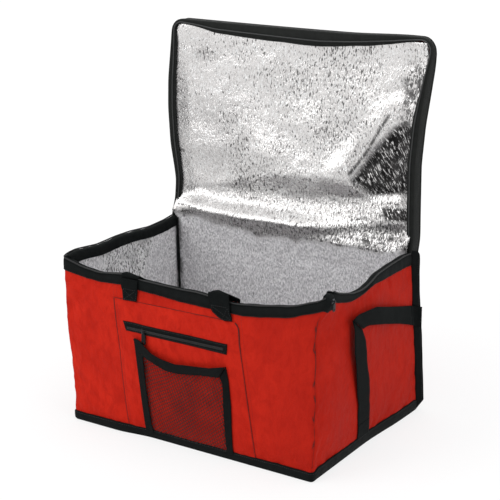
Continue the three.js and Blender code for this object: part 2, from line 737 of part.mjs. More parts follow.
// A diamond net in one plane that leans off the pocket panel, bound on its sides and its mouth.
function buildMeshPocket() {
  const foot = bottomBindingHeight + clearance
  const side = meshBindingWidth / 2
  const inset = side + clearance
  const rim = 3
  const across = (s, z) => mix(meshLeft + inset, meshRight(z) - inset, s)
  const place = (s, t) => {
    const nearly = meshTop(across(s, meshRightHeight)) - inset
    const z = mix(foot, meshTop(across(s, nearly)) - inset, t)
    return [across(s, z), z]
  }
  const outline = new THREE.Shape()
  const edgeSteps = 10
  outline.moveTo(...place(0, 0))
  outline.lineTo(...place(1, 0))
  for (let i = edgeSteps; i >= 0; i--) outline.lineTo(...place(i / edgeSteps, 1))
  outline.closePath()
  const width = meshRightTop - meshLeft - 2 * inset
  const height = meshRightHeight - foot - inset
  const cellX = (1 - 2 * rim / width) / netColumns
  const cellZ = (1 - 2 * rim / height) / netRows
  const threadX = netThread / width / 2
  const threadZ = netThread / height / 2
  for (let row = 0; row < netRows * 2 - 1; row++) {
    const shift = row % 2
    for (let column = 0; column < netColumns - shift; column++) {
      const cx = rim / width + cellX * (column + 0.5 + shift / 2)
      const cz = rim / height + cellZ * (row + 1) / 2
      const hole = new THREE.Path()
      hole.moveTo(...place(cx - cellX / 2 + threadX, cz))
      hole.lineTo(...place(cx, cz - cellZ / 2 + threadZ))
      hole.lineTo(...place(cx + cellX / 2 - threadX, cz))
      hole.lineTo(...place(cx, cz + cellZ / 2 - threadZ))
      hole.closePath()
      outline.holes.push(hole)
    }
  }
  const net = new THREE.ExtrudeGeometry(outline, { depth: 1, bevelEnabled: false })
  const laid = reshape(net, (p) => at(p.x, wallOffset(meshOut(p.y) + p.z * meshThickness), p.y))
  add('mesh_pocket_net', settled(laid), netThreadFinish)

  const edge = (x, z, out) => settle(at(x, wallOffset(out), z))
  const band = 2.2
  const bound = (outer, inner) => {
    const [x0, z0, base] = outer
    const [x1, z1] = inner
    const low = meshOut(z1) - 0.6
    return [edge(x0, z0, base), edge(x1, z1, low), edge(x1, z1, low + band), edge(x0, z0, base + band)]
  }
  const rings = []
  for (let i = 0; i <= 4; i++) {
    const z = mix(foot, meshLeftTop - meshBindingWidth, i / 4)
    rings.push(bound([meshLeft - side, z, panelOut + clearance], [meshLeft + side, z]))
  }
  const upperLeft = [meshLeft - side, meshLeftTop + side, panelOut + clearance]
  rings.push(bound(upperLeft, [meshLeft + side, meshTop(meshLeft + side) - side]))
  const count = 8
  for (let i = 1; i < count; i++) {
    const x = mix(meshLeft, meshRightTop, i / count)
    const z = meshTop(x)
    rings.push(bound([x, z + side, meshOut(z) - 0.6], [x, z - side]))
  }
  const right = meshRight(meshRightHeight)
  const innerRight = meshRight(meshTop(right - side) - side) - side
  rings.push(bound(
    [right + side, meshRightHeight + side, panelOut + clearance], [innerRight, meshTop(innerRight) - side],
  ))
  for (let i = 4; i >= 0; i--) {
    const z = mix(foot, meshRightHeight - meshBindingWidth, i / 4)
    const x = meshRight(z)
    rings.push(bound([x + side, z, panelOut + clearance], [x - side, z]))
  }
  add('mesh_pocket_binding', loft(rings, square), blackTrim)
}

// The lid is drawn flat, as [x, up from the hinge, back from the zip edge], then stood up at its lean.
const hingeLine = settle(at(0, halfDepth - outerCloth / 2, hingeNominal))
const lean = THREE.MathUtils.degToRad(lidLean)
function standLid(x, up, back) {
  return at(
    x,
    hingeLine.y + up * Math.sin(lean) + back * Math.cos(lean),
    hingeLine.z + up * Math.cos(lean) - back * Math.sin(lean),
  )
}
const lidLeftEdge = (up) => mix(lidLeftBottom, lidLeftTop, up / lidLength)
const lidRightEdge = (up) => mix(lidRightBottom, lidRightTop, up / lidLength)

// The lid's edge from the left end of the hinge round to the right end, drawn in by an inset.
function lidOutline(inset, start) {
  const points = []
  const top = lidLength - inset
  const radius = lidCornerRadius - inset
  const middle = lidLength - lidCornerRadius
  for (const t of [0, 0.34, 0.67]) points.push([lidLeftEdge(mix(start, middle, t)) + inset, mix(start, middle, t)])
  for (let i = 0; i <= 5; i++) {
    const angle = Math.PI - (i / 5) * Math.PI / 2
    points.push([lidLeftEdge(middle) + lidCornerRadius + radius * Math.cos(angle), middle + radius * Math.sin(angle)])
  }
  for (const t of [0.34, 0.67]) {
    points.push([mix(lidLeftEdge(middle) + lidCornerRadius, lidRightEdge(middle) - lidCornerRadius, t), top])
  }
  for (let i = 0; i <= 5; i++) {
    const angle = Math.PI / 2 - (i / 5) * Math.PI / 2
    points.push([lidRightEdge(middle) - lidCornerRadius + radius * Math.cos(angle), middle + radius * Math.sin(angle)])
  }
  for (const t of [0.67, 0.34, 0]) points.push([lidRightEdge(mix(start, middle, t)) - inset, mix(start, middle, t)])
  return points
}

function lidSheet(inset, start, near, thickness) {
  const points = lidOutline(inset, start)
  const rings = [near, near + thickness].map((back) => points.map(([x, up]) => standLid(x, up, back)))
  return loft(rings, points)
}

// Carries a cross-section of [inset, back] points round the lid's three free sides.
function roundLid(profile, start) {
  const lines = profile.map(([inset]) => lidOutline(inset, start))
  const rings = lines[0].map((_, i) => profile.map(([, back], j) => standLid(...lines[j][i], back)))
  return loft(rings, profile)
}

function buildLid() {
  const gussetFoot = hingeBeadRadius + clearance
  const start = gussetFoot + outerCloth + clearance
  const inside = lidBandThickness + clearance
  const foamNear = lidDepth - clearance - lidFoam
  add('lid_outer', lidSheet(inside, start, lidDepth, outerCloth), redCloth)
  add('lid_foam', lidSheet(inside, start, foamNear, lidFoam), foam)
  add('lid_lining', lidSheet(inside, start, foamNear - clearance - foilLining, foilLining), foil)
  const back = lidDepth + outerCloth
  add('lid_band', roundLid([[0, 0], [lidBandThickness, 0], [lidBandThickness, back], [0, back]], start), blackTrim)
  const tape = -clearance - tapeThickness
  const coil = lidTapeWidth - 3
  add('lid_zip', roundLid([
    [0, -clearance], [0, tape], [coil - coilSize / 2, tape], [coil - coilSize / 2, tape - 1.2],
    [coil + coilSize / 2, tape - 1.2], [coil + coilSize / 2, tape], [lidTapeWidth, tape],
    [lidTapeWidth, -clearance],
  ], wallThickness + 2 * clearance), nylonCoil)
  const r = lidPipingRadius
  const pipe = [0, 1, 2, 3, 4, 5].map((i) => {
    const angle = i * Math.PI / 3
    return [r / 2 + r * Math.cos(angle), back + clearance + r + r * Math.sin(angle)]
  })
  add('lid_piping', roundLid(pipe, start), blackTrim)

  const thin = outerCloth / 2
  const gussetHead = gussetFoot + outerCloth
  const gusset = [[-thin, gussetFoot], [-thin, gussetHead], [back, gussetHead], [back, gussetFoot]]
  const rings = [lidLeftBottom, lidRightBottom].map((x) => gusset.map(([behind, up]) => standLid(x, up, behind)))
  add('lid_hinge_gusset', loft(rings, gusset), redCloth)
  buildHingeStrip()
}

// The cloth fold the lid turns on: a rolled edge on top of the back wall with a flap down its outside.
function buildHingeStrip() {
  const profile = [[hingeBeadRadius, -hingeFlap], [hingeBeadRadius, 0]]
  for (let i = 1; i <= 8; i++) {
    const angle = (i / 8) * (5 / 3) * Math.PI
    profile.push([hingeBeadRadius * Math.cos(angle), hingeBeadRadius * Math.sin(angle)])
  }
  const flapInside = outerCloth / 2 + clearance
  profile.push([flapInside, -hingeBeadRadius], [flapInside, -hingeFlap])
  const rings = [-halfWidth + 4, halfWidth - 16].map((x) => profile.map(([behind, up]) => (
    settle(at(x, halfDepth - outerCloth / 2 + behind, hingeNominal + up))
  )))
  add('hinge_strip', loft(rings, profile), redCloth)
}

// Slider of the lid zip, parked at the front right corner of the rim.
function mainPullBar() {
  const outer = rimZipMiddle() + coilSize / 2 + sliderPlay + sliderWall
  const reach = eyeRadius + clearance
  return { x: halfWidth + outer + reach, y: mainSliderPlace, z: rimHeight - coilSize / 2, reach }
}

function buildMainSlider() {
  const middle = rimZipMiddle()
  const hollow = coilSize / 2 + sliderPlay
  const slot = tapeThickness / 2 + sliderPlay
  const outer = hollow + sliderWall
  const low = bandTop + 3 * clearance
  const floor = rimHeight - coilSize - sliderPlay
  const top = rimHeight + sliderPlay
  const profile = [
    [-outer, low], [-outer, top + sliderWall], [outer, top + sliderWall], [outer, low],
    [slot, low], [slot, floor], [hollow, floor], [hollow, top], [-hollow, top], [-hollow, floor],
    [-slot, floor], [-slot, low],
  ]
  const rings = [-1, 1].map((sign) => profile.map(([out, up]) => (
    at(halfWidth + middle + out, mainSliderPlace + sign * sliderLength / 2, up)
  )))
  const bar = mainPullBar()
  const loop = staple(bar.reach).rotateZ(Math.PI / 2).translate(bar.x, bar.y, bar.z)
  add('main_slider', settled(joined(loft(rings, profile), loop)), zincMetal)
  const tongue = pull(mainPullLength).rotateZ(Math.PI / 2).translate(bar.x, bar.y, bar.z)
  add('main_pull', settled(tongue), zincMetal)
}

buildWalls()
buildBase()
buildBottomBinding()
buildBackSeams()
buildRim()
buildFrontHandle()
buildBackHandle()
buildSideStraps()
buildPocket()
buildMeshPocket()
buildLid()
buildMainSlider()

export default group
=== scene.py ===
import math
import bpy
import numpy as np
from mathutils import Matrix, Vector


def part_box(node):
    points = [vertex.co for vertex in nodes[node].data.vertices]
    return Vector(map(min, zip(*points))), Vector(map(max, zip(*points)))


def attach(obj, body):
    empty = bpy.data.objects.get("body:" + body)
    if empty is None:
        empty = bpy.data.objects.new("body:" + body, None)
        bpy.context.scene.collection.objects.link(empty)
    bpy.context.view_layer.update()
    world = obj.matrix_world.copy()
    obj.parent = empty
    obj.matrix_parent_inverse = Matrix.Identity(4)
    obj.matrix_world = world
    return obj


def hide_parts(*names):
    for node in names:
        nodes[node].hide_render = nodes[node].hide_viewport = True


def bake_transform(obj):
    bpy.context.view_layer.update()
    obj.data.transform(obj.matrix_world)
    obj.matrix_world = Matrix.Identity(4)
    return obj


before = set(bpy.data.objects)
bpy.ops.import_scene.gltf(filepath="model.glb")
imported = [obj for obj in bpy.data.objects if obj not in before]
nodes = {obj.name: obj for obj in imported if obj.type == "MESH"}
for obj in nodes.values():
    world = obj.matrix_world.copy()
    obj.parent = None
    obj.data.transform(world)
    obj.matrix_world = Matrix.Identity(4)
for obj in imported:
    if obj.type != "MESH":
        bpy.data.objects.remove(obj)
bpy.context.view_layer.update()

mm = 0.001
webbingWidth = 38.0

# The bag's corners in plan at the floor and at the rim, in mm: front left, front right, back right, back left
baseCorners = np.array([[-270.4, -182.5], [272.2, -190.7], [278.8, 187.4], [-277.0, 186.0]])
rimCorners = np.array([[-277.1, -184.1], [284.6, -172.6], [270.5, 177.4], [-278.9, 182.4]])
rimCornerHeights = np.array([322.4, 341.9, 319.1, 318.3])
sideStarts = np.array([0.0, 560.0, 930.0, 1490.0])
sideLengths = np.array([560.0, 370.0, 560.0, 370.0])
girth = 1860.0
frontRight, backRight, backLeft = 560.0, 930.0, 1490.0
hingeY, hingeZ, lidLean = 178.47, 344.49, math.radians(5.6)


# Numbers to shapes
def smoothstep(a, b, x):
    # 0 up to a and 1 from b on, along an S-shaped curve between them; a may be the higher one
    t = np.clip((x - a) / (b - a), 0, 1)
    return t * t * (3 - 2 * t)


def bump(x, centre, width):
    # 1 at the centre, dying away like a bell: to about a third one width off
    return np.exp(-((x - centre) / width) ** 2)


def stepped(x, *knots):
    # heights at places that may themselves vary, joined by smooth curves
    total = knots[0][1] + 0 * x
    for (a, low), (b, high) in zip(knots, knots[1:]):
        total = total + (high - low) * smoothstep(a, b, x)
    return total


def softLine(x, xs, ys, blur=14.0):
    # a polyline through the given places, rounded by averaging over the blur
    offsets = np.linspace(-1, 1, 9) * blur
    weights = 1.2 - np.abs(np.linspace(-1, 1, 9))
    total = sum(w * np.interp(x + o, xs, ys) for o, w in zip(offsets, weights))
    return total / weights.sum()


def insidePolygon(x, y, corners, soft):
    # 1 inside a convex outline whose corners run anticlockwise, fading to 0 over a soft edge
    amount = np.ones(np.shape(x))
    for (ax, ay), (bx, by) in zip(corners, corners[1:] + corners[:1]):
        depth = ((bx - ax) * (y - ay) - (by - ay) * (x - ax)) / math.hypot(bx - ax, by - ay)
        amount = amount * smoothstep(-soft, soft, depth)
    return amount


def lineDistance(x, y, places):
    # how far each point is from a line through the given places, in mm
    best = np.full(np.shape(x), 1e9)
    for (ax, ay), (bx, by) in zip(places, places[1:]):
        run = (bx - ax) ** 2 + (by - ay) ** 2
        t = np.clip(((x - ax) * (bx - ax) + (y - ay) * (by - ay)) / run, 0, 1)
        best = np.minimum(best, np.hypot(x - ax - t * (bx - ax), y - ay - t * (by - ay)))
    return best


def valueNoise(x, y, seed):
    # random heights from -1 to 1 on a unit lattice, joined by smooth curves
    x, y = np.broadcast_arrays(np.asarray(x, float), np.asarray(y, float))
    xi, yi = np.floor(x).astype(np.int64), np.floor(y).astype(np.int64)
    fx, fy = x - xi, y - yi
    fx, fy = fx * fx * (3 - 2 * fx), fy * fy * (3 - 2 * fy)

    def lattice(i, j):
        h = (i * 374761393 + j * 668265263 + seed * 974711) & 0xFFFFFFFF
        h = ((h ^ (h >> 13)) * 1274126177) & 0xFFFFFFFF
        return ((h ^ (h >> 16)) & 0xFFFF) / 32767.5 - 1

    low = lattice(xi, yi) * (1 - fx) + lattice(xi + 1, yi) * fx
    high = lattice(xi, yi + 1) * (1 - fx) + lattice(xi + 1, yi + 1) * fx
    return low * (1 - fy) + high * fy


def fractal(x, y, seed, octaves=3):
    # noise with finer noise on it: each octave half the size and half the height of the one before
    total, size = 0, 1.0
    for k in range(octaves):
        total = total + size * valueNoise(x * 2 ** k + 13.7 * k, y * 2 ** k - 7.1 * k, seed + k)
        size *= 0.5
    return total


def ridges(x, y, seed):
    # sharp creases: one where the noise crosses zero, falling away to both sides
    return 1 - 2 * np.abs(valueNoise(x, y, seed)) ** 0.8


# The walls
def cornerBow(p, z):
    # how far the front right corner caves in between the rim and the foot, in mm
    deep = softLine(z, [0, 31, 76, 115, 145, 185, 218, 261, 296, 318], [0, 1, 2, 8, 7, 12, 12, 17, 14, 0], 8)
    before = smoothstep(470, frontRight, p)
    after = np.clip(1 - (p - frontRight) / 85, 0, 1) ** 1.4
    return deep * np.where(p < frontRight, before, after)


def settle(p, z):
    # how the soft walls have sagged, as x and y in mm: the left corner's foot forwards, the right wall's
    # foot in, the back right corner out
    q = (p + 600) % girth - 600
    low = 1 - smoothstep(0, 110, z)
    leftX = np.interp(z, [0, 54, 103, 178, 252, 322], [9, 5.5, 0, -4.5, -4.5, -2])
    left = smoothstep(-150, 0, q) * smoothstep(150, 0, q)
    sag = smoothstep(515, 575, q) * smoothstep(860, 740, q) * (1 - smoothstep(0, 130, z))
    back = smoothstep(800, 925, q) * smoothstep(1030, 940, q)
    back = back * np.interp(z, [20, 100, 150, 200, 270, 340], [1, 0.9, 0.68, 0.38, 0.2, 0.18])
    x = leftX * left - 6.0 * sag + 4.0 * back
    y = -8.5 * low * smoothstep(-60, 0, q) * smoothstep(200, 110, q) + 6.0 * back
    return np.stack([x, y], -1)


def plan(p, z, bowed=True):
    # where the outer wall stands, at p mm round the girth and z mm up: straight sides between leaning
    # corners, with rounded turns
    p, z = np.broadcast_arrays(np.asarray(p, float), np.asarray(z, float))
    total = np.zeros(p.shape + (2,))
    offsets = np.linspace(-5, 5, 7)
    for o in offsets:
        q = (p + o) % girth
        side = np.clip(np.searchsorted(sideStarts, q, side="right") - 1, 0, 3)
        after = (side + 1) % 4
        f = ((q - sideStarts[side]) / sideLengths[side])[..., None]
        here, there = (
            baseCorners[k] + (z / rimCornerHeights[k])[..., None] * (rimCorners[k] - baseCorners[k])
            for k in (side, after))
        total += here + (there - here) * f
        if bowed:
            total[..., 0] -= cornerBow(q, z)
    total /= len(offsets)
    return total + settle(p, z) if bowed else total


def outward(p, z):
    # the wall's direction in plan, turned a quarter to face out, one unit long
    along = plan(p + 3.0, z) - plan(p - 3.0, z)
    along /= np.linalg.norm(along, axis=-1, keepdims=True)
    return np.stack([along[..., 1], -along[..., 0]], -1)


# The rim's sag, read off the photograph: places round the girth and the wall's height there, in mm
rimTopPlaces = [0, 43, 82, 137, 175, 215, 261, 300, 320, 350, 381, 397, 415, 432, 451, 469, 487, 505, 522,
                545, 560, 577, 595, 612, 635, 657, 679, 702, 724, 747, 769, 791, 836, 897, 930, 960, 1460,
                1494, 1533, 1586, 1651, 1701, 1758, 1822, 1845, 1860]
rimTopHeights = [324, 312, 307, 313, 308, 306.5, 305, 305.5, 303.5, 300.5, 298, 299.5, 302, 303.5, 307, 310,
                 312, 316.5, 323.5, 331, 341, 343, 338, 333, 327, 320, 316.5, 314, 315, 319, 324.5, 325.5,
                 326.5, 326, 322, 318, 318, 319, 315, 314, 321, 323, 322, 329, 328, 324]


def rimTop(p):
    # how high the cloth wall reaches at p mm round the girth, in mm
    xs = np.array(rimTopPlaces)
    xs = np.concatenate([xs[:-1] - girth, xs, xs[1:] + girth])
    ys = np.concatenate([rimTopHeights[:-1], rimTopHeights, rimTopHeights[1:]])
    return softLine(np.asarray(p, float), xs, ys, 9.0)


# Sewn cloth, blown out from behind
swellSpec = {"columns": 220, "rows": 40, "cap": 4.5, "pressure": 2.2, "slack": 0.016, "frames": 18,
             "quality": 6, "mass": 0.25, "stretch": 25, "shear": 8, "bending": 0.35}


def clothSwell(start, normals, pinned):
    # cloth pinned along its seams and pressed from behind: how far each point ends up off its start, in mm
    rows, cols = start.shape[:2]
    mesh = bpy.data.meshes.new("simulated")
    mesh.from_pydata((start.reshape(-1, 3) * mm).tolist(), [], gridFaces(rows, cols, wrapCols=True))
    cloth = bpy.data.objects.new("simulated", mesh)
    bpy.context.scene.collection.objects.link(cloth)
    group = cloth.vertex_groups.new(name="seams")
    group.add(np.flatnonzero(pinned.ravel()).tolist(), 1.0, "REPLACE")
    modifier = cloth.modifiers.new("cloth", "CLOTH")
    settings = modifier.settings
    settings.quality = swellSpec["quality"]
    settings.mass = swellSpec["mass"]
    settings.tension_stiffness = settings.compression_stiffness = swellSpec["stretch"]
    settings.shear_stiffness = swellSpec["shear"]
    settings.bending_stiffness = swellSpec["bending"]
    settings.use_pressure = True
    settings.uniform_pressure_force = swellSpec["pressure"]
    settings.shrink_min = -swellSpec["slack"]
    settings.vertex_group_mass = "seams"
    settings.effector_weights.gravity = 0
    modifier.collision_settings.use_collision = False
    modifier.point_cache.frame_start = 1
    modifier.point_cache.frame_end = swellSpec["frames"]
    for number in range(1, swellSpec["frames"] + 1):
        bpy.context.scene.frame_set(number)
    shown = cloth.evaluated_get(bpy.context.evaluated_depsgraph_get()).to_mesh()
    places = np.zeros(len(shown.vertices) * 3)
    shown.vertices.foreach_get("co", places)
    moved = places.reshape(start.shape) / mm - start
    bpy.data.objects.remove(cloth)
    bpy.data.meshes.remove(mesh)
    bpy.context.scene.frame_set(1)
    off = np.nan_to_num((moved * normals).sum(-1))
    return swellSpec["cap"] * np.tanh(off / swellSpec["cap"])


def onGrid(values, row, column):
    # values of a grid between its points, by straight lines both ways. Its last column joins its first
    rows, cols = values.shape
    row = np.clip(row, 0, rows - 1.001)
    column = column % cols
    i, j = np.floor(row).astype(int), np.floor(column).astype(int)
    fr, fc = row - i, column - j
    j2 = (j + 1) % cols
    low = values[i, j] * (1 - fc) + values[i, j2] * fc
    high = values[i + 1, j] * (1 - fc) + values[i + 1, j2] * fc
    return low * (1 - fr) + high * fr


def wallSwell():
    # the whole wall as one cloth, pinned at its foot, its rim and its corners, and slightly uneven to start
    ps = np.arange(swellSpec["columns"]) * girth / swellSpec["columns"]
    pGrid, hGrid = np.meshgrid(ps, np.linspace(0, 1, swellSpec["rows"]))
    top = rimTop(pGrid)
    zGrid = hGrid * top
    normals = np.concatenate([outward(pGrid, zGrid), 0 * zGrid[..., None]], -1)
    start = np.concatenate([plan(pGrid, zGrid), zGrid[..., None]], -1)
    start = start + normals * (0.5 * fractal(pGrid / 55, zGrid / 60, 5))[..., None]
    atCorner = np.min([np.abs((pGrid - c + girth / 2) % girth - girth / 2) for c in sideStarts], axis=0) < 5
    pinned = (zGrid < 17) | (top - zGrid < 27) | atCorner
    return clothSwell(start, normals, pinned)


# Meshes
def gridFaces(rows, cols, wrapRows=False, wrapCols=False):
    # four-sided faces between neighbouring rows and columns, joined up at the end where it wraps
    i = np.arange(rows if wrapRows else rows - 1)[:, None]
    j = np.arange(cols if wrapCols else cols - 1)[None, :]
    i2, j2 = (i + 1) % rows, (j + 1) % cols
    quads = np.stack([i * cols + j, i * cols + j2, i2 * cols + j2, i2 * cols + j], -1).reshape(-1, 4)
    return quads.tolist()


swell = wallSwell()
print("cloth simulated", round(float(swell.min()), 2), round(float(swell.max()), 2))


def folds(p, z):
    # how far the cloth stands out: the simulated swell, fine creases and gathers at the seams added up,
    # nearly flat at the back, and pinched at the front corners
    p, z = np.broadcast_arrays(np.asarray(p, float), np.asarray(z, float))
    hang = rimTop(p) - z
    share = z / rimTop(p) * (swellSpec["rows"] - 1)
    padded = onGrid(swell, share, (p % girth) * swellSpec["columns"] / girth)
    inside = smoothstep(4, 30, z) * smoothstep(10, 50, hang)
    crease = 0.8 * ridges(p / 62 + 0.25 * valueNoise(p / 60, z / 60, 9), z / 120 + p / 210, 21)
    fine = 0.24 * ridges(p / 21, z / 34 - p / 90, 31) + 0.14 * ridges(p / 12 + z / 40, z / 15, 33)
    gather = 1.2 * valueNoise(p / 9, z / 60, 41) * np.exp(-((hang - 26) / 20) ** 2)
    foot = 0.9 * valueNoise(p / 10, z / 60, 47) * np.exp(-((z - 22) / 16) ** 2)
    corner = bump(p, 0, 18) + bump(p, girth, 18)
    seam = bump(p, frontRight, 13)
    q = p % girth
    atBack = smoothstep(backRight + 12, backRight + 50, q) * smoothstep(backLeft - 12, backLeft - 50, q)
    calm = 1 - 0.85 * atBack
    pinch = 1.7 * seam * ridges(p / 60, z / 15 + p / 26, 53) - 2.0 * bump(p, frontRight, 1.9)
    pinch = pinch + 0.8 * corner * ridges(p / 40, z / 24 + p / 55, 57)
    return calm * (padded * smoothstep(0, 30, z) + inside * (crease + fine) + gather + foot) + inside * pinch


def wall(p, z, out=0.0, relief=1.0):
    # a point that many mm out from the wall's plan, pushed out by its folds
    p, z, out = np.broadcast_arrays(np.asarray(p, float), np.asarray(z, float), np.asarray(out, float))
    flat = plan(p, z) + outward(p, z) * (out + relief * folds(p, z))[..., None]
    return np.concatenate([flat, z[..., None]], -1)


def frontPlace(x, z):
    # the girth place of a point on the front wall
    left = plan(9.0, z, False)[..., 0] - 9
    right = plan(frontRight - 9.0, z, False)[..., 0] + 9
    return frontRight * (x - left) / (right - left)


def front(x, z, out=0.0, relief=1.0):
    # a point sewn to the front wall. x and z are where it would be on the flat wall. Where the swell
    # carries it forward it moves right and up too, so it keeps its place in the photograph
    p = frontPlace(x, z)
    forward = relief * folds(p, z) - settle(p, z)[..., 1]
    x, z = x + 0.635 * forward, z + 0.37 * forward
    return wall(frontPlace(x, z), z, out, relief)


def sidePlace(y, z, side):
    # the girth place of a point on the right wall, side 1, or the left one, side -1
    if side > 0:
        near, far = plan(frontRight + 9.0, z, False)[..., 1] - 9, plan(backRight - 9.0, z, False)[..., 1] + 9
        return frontRight + 370 * (y - near) / (far - near)
    near, far = plan(girth - 9.0, z, False)[..., 1] - 9, plan(backLeft + 9.0, z, False)[..., 1] + 9
    return girth - 370 * (y - near) / (far - near)


def sideWall(y, z, side, out=0.0, relief=1.0):
    # a point sewn to a side wall, moved forward and up with the swell so it keeps its place in the photograph
    p = sidePlace(y, z, side)
    outwards = relief * folds(p, z) + (settle(p, z)[..., 0] if side > 0 else 0)
    y, z = y - 1.575 * outwards, z + 0.587 * outwards
    return wall(sidePlace(y, z, side), z, out, relief)


def flatOutward(p, z):
    # the outward direction with nothing upwards in it
    n = outward(p, z)
    return np.concatenate([n, np.zeros(n.shape[:-1] + (1,))], -1)


def lidPoint(x, up, back):
    # the lid stood up at its lean: up along it from the hinge, back from its zip edge
    x, up, back = np.broadcast_arrays(np.asarray(x, float), np.asarray(up, float), np.asarray(back, float))
    y = hingeY + up * math.sin(lidLean) + back * math.cos(lidLean)
    z = hingeZ + up * math.cos(lidLean) - back * math.sin(lidLean)
    return np.stack([x, y, z], -1)


def makeMesh(name, points, faces, uv=None, smooth=True):
    # an object from points in mm, with their places on the cloth in mm
    mesh = bpy.data.meshes.new(name)
    mesh.from_pydata((np.asarray(points).reshape(-1, 3) * mm).tolist(), [], faces)
    mesh.validate()
    if uv is not None:
        layer = mesh.uv_layers.new(name="cloth")
        loops = np.zeros(len(mesh.loops), dtype=np.int32)
        mesh.loops.foreach_get("vertex_index", loops)
        layer.data.foreach_set("uv", np.asarray(uv, float).reshape(-1, 2)[loops].ravel())
    mesh.polygons.foreach_set("use_smooth", np.full(len(mesh.polygons), smooth))
    obj = bpy.data.objects.new(name, mesh)
    bpy.context.scene.collection.objects.link(obj)
    return obj


def lengthsAlong(points, axis):
    # running length along one axis of a grid, averaged over the other
    steps = np.linalg.norm(np.diff(points, axis=axis), axis=-1).mean(axis=1 - axis)
    return np.concatenate([[0], np.cumsum(steps)])


def gridUv(points):
    # each point's place on the cloth: the running lengths along its row and its column
    v, u = np.meshgrid(lengthsAlong(points, 0), lengthsAlong(points, 1), indexing="ij")
    return np.stack([u, v], -1)


def sheetMesh(name, points, thickness=None, flip=False, uv=None):
    # a grid of points as one cloth, thickened behind its face
    points = np.asarray(points)
    faces = gridFaces(*points.shape[:2])
    if flip:
        faces = [f[::-1] for f in faces]
    obj = makeMesh(name, points, faces, gridUv(points) if uv is None else uv)
    if thickness:
        solid = obj.modifiers.new("thickness", "SOLIDIFY")
        solid.thickness = thickness * mm
        solid.offset = -1
    return obj


def loftData(rings, closed=False):
    # closed rings of points joined into one solid with flat ends, its faces turned outwards
    rings = np.asarray(rings)
    count, size = rings.shape[:2]
    faces = gridFaces(count, size, wrapRows=closed, wrapCols=True)
    quads = np.array(faces)
    points = rings.reshape(-1, 3)
    a, b, c, d = (points[quads[:, k]] - points[0] for k in range(4))
    volume = np.einsum("ij,ij->", a, np.cross(b, c)) + np.einsum("ij,ij->", a, np.cross(c, d))
    if not closed:
        faces += [list(range(size))[::-1], list(range((count - 1) * size, count * size))]
    if volume < 0:
        faces = [f[::-1] for f in faces]
    uv = gridUv(np.concatenate([rings, rings[:, :1]], 1))[:, :-1]
    return points, faces, uv.reshape(-1, 2)


def mergedMesh(name, parts, smooth=True):
    # several solids as one mesh
    points, faces, uvs, count = [], [], [], 0
    for part in parts:
        points.append(part[0])
        faces += [[k + count for k in f] for f in part[1]]
        uvs.append(part[2])
        count += len(part[0])
    return makeMesh(name, np.concatenate(points), faces, np.concatenate(uvs), smooth)


def loftMesh(name, rings, closed=False):
    # one loft as an object of its own
    return mergedMesh(name, [loftData(rings, closed)])


# Webbing's section: shares of its width and of its thickness, round its slightly rounded edges
webbingSection = np.array([
    (0, 0.25), (0.02, 0.02), (0.15, 0), (0.5, 0), (0.85, 0), (0.98, 0.02), (1, 0.25),
    (1, 0.75), (0.98, 0.98), (0.85, 1), (0.5, 1), (0.15, 1), (0.02, 0.98), (0, 0.75)])


def ribbonData(edgeA, edgeB, out, thickness=1.6):
    # webbing between two edge lines: its section set across them at each point. out is the way it faces
    edgeA, edgeB, out = (np.asarray(v, float) for v in (edgeA, edgeB, out))
    out = np.broadcast_to(out, edgeA.shape)
    out = out / np.linalg.norm(out, axis=-1, keepdims=True)
    share, lift = webbingSection[:, :1], webbingSection[:, 1:]
    return loftData(edgeA[:, None] + (edgeB - edgeA)[:, None] * share + out[:, None] * lift * thickness)


def ribbon(name, edgeA, edgeB, out, thickness=1.6):
    # one run of webbing as an object of its own
    return mergedMesh(name, [ribbonData(edgeA, edgeB, out, thickness)])


def resample(points, step=None, count=None):
    # the same line with points step mm apart, or with that many points
    points = np.asarray(points, float)
    run = np.concatenate([[0], np.cumsum(np.linalg.norm(np.diff(points, axis=0), axis=1))])
    count = count or max(2, int(round(run[-1] / step)) + 1)
    at = np.linspace(0, run[-1], count)
    return np.stack([np.interp(at, run, points[:, k]) for k in range(points.shape[1])], -1)


def tubeData(path, radius, sides=6, squash=1.0):
    # a thin cord along a path of points: at each one a ring square to the path, squashed one way
    path = np.asarray(path, float)
    along = np.gradient(path, axis=0)
    along /= np.linalg.norm(along, axis=1, keepdims=True)
    other = np.cross(along, np.where(np.abs(along[:, 2:]) > 0.8, [[0, 1.0, 0]], [[0, 0, 1.0]]))
    other /= np.linalg.norm(other, axis=1, keepdims=True)
    third = np.cross(along, other)
    angles = np.linspace(0, 2 * math.pi, sides, endpoint=False)
    radius = np.broadcast_to(np.asarray(radius, float), (len(path),))[:, None, None]
    return loftData(path[:, None] + radius * (np.cos(angles)[None, :, None] * other[:, None]
                                              + squash * np.sin(angles)[None, :, None] * third[:, None]))


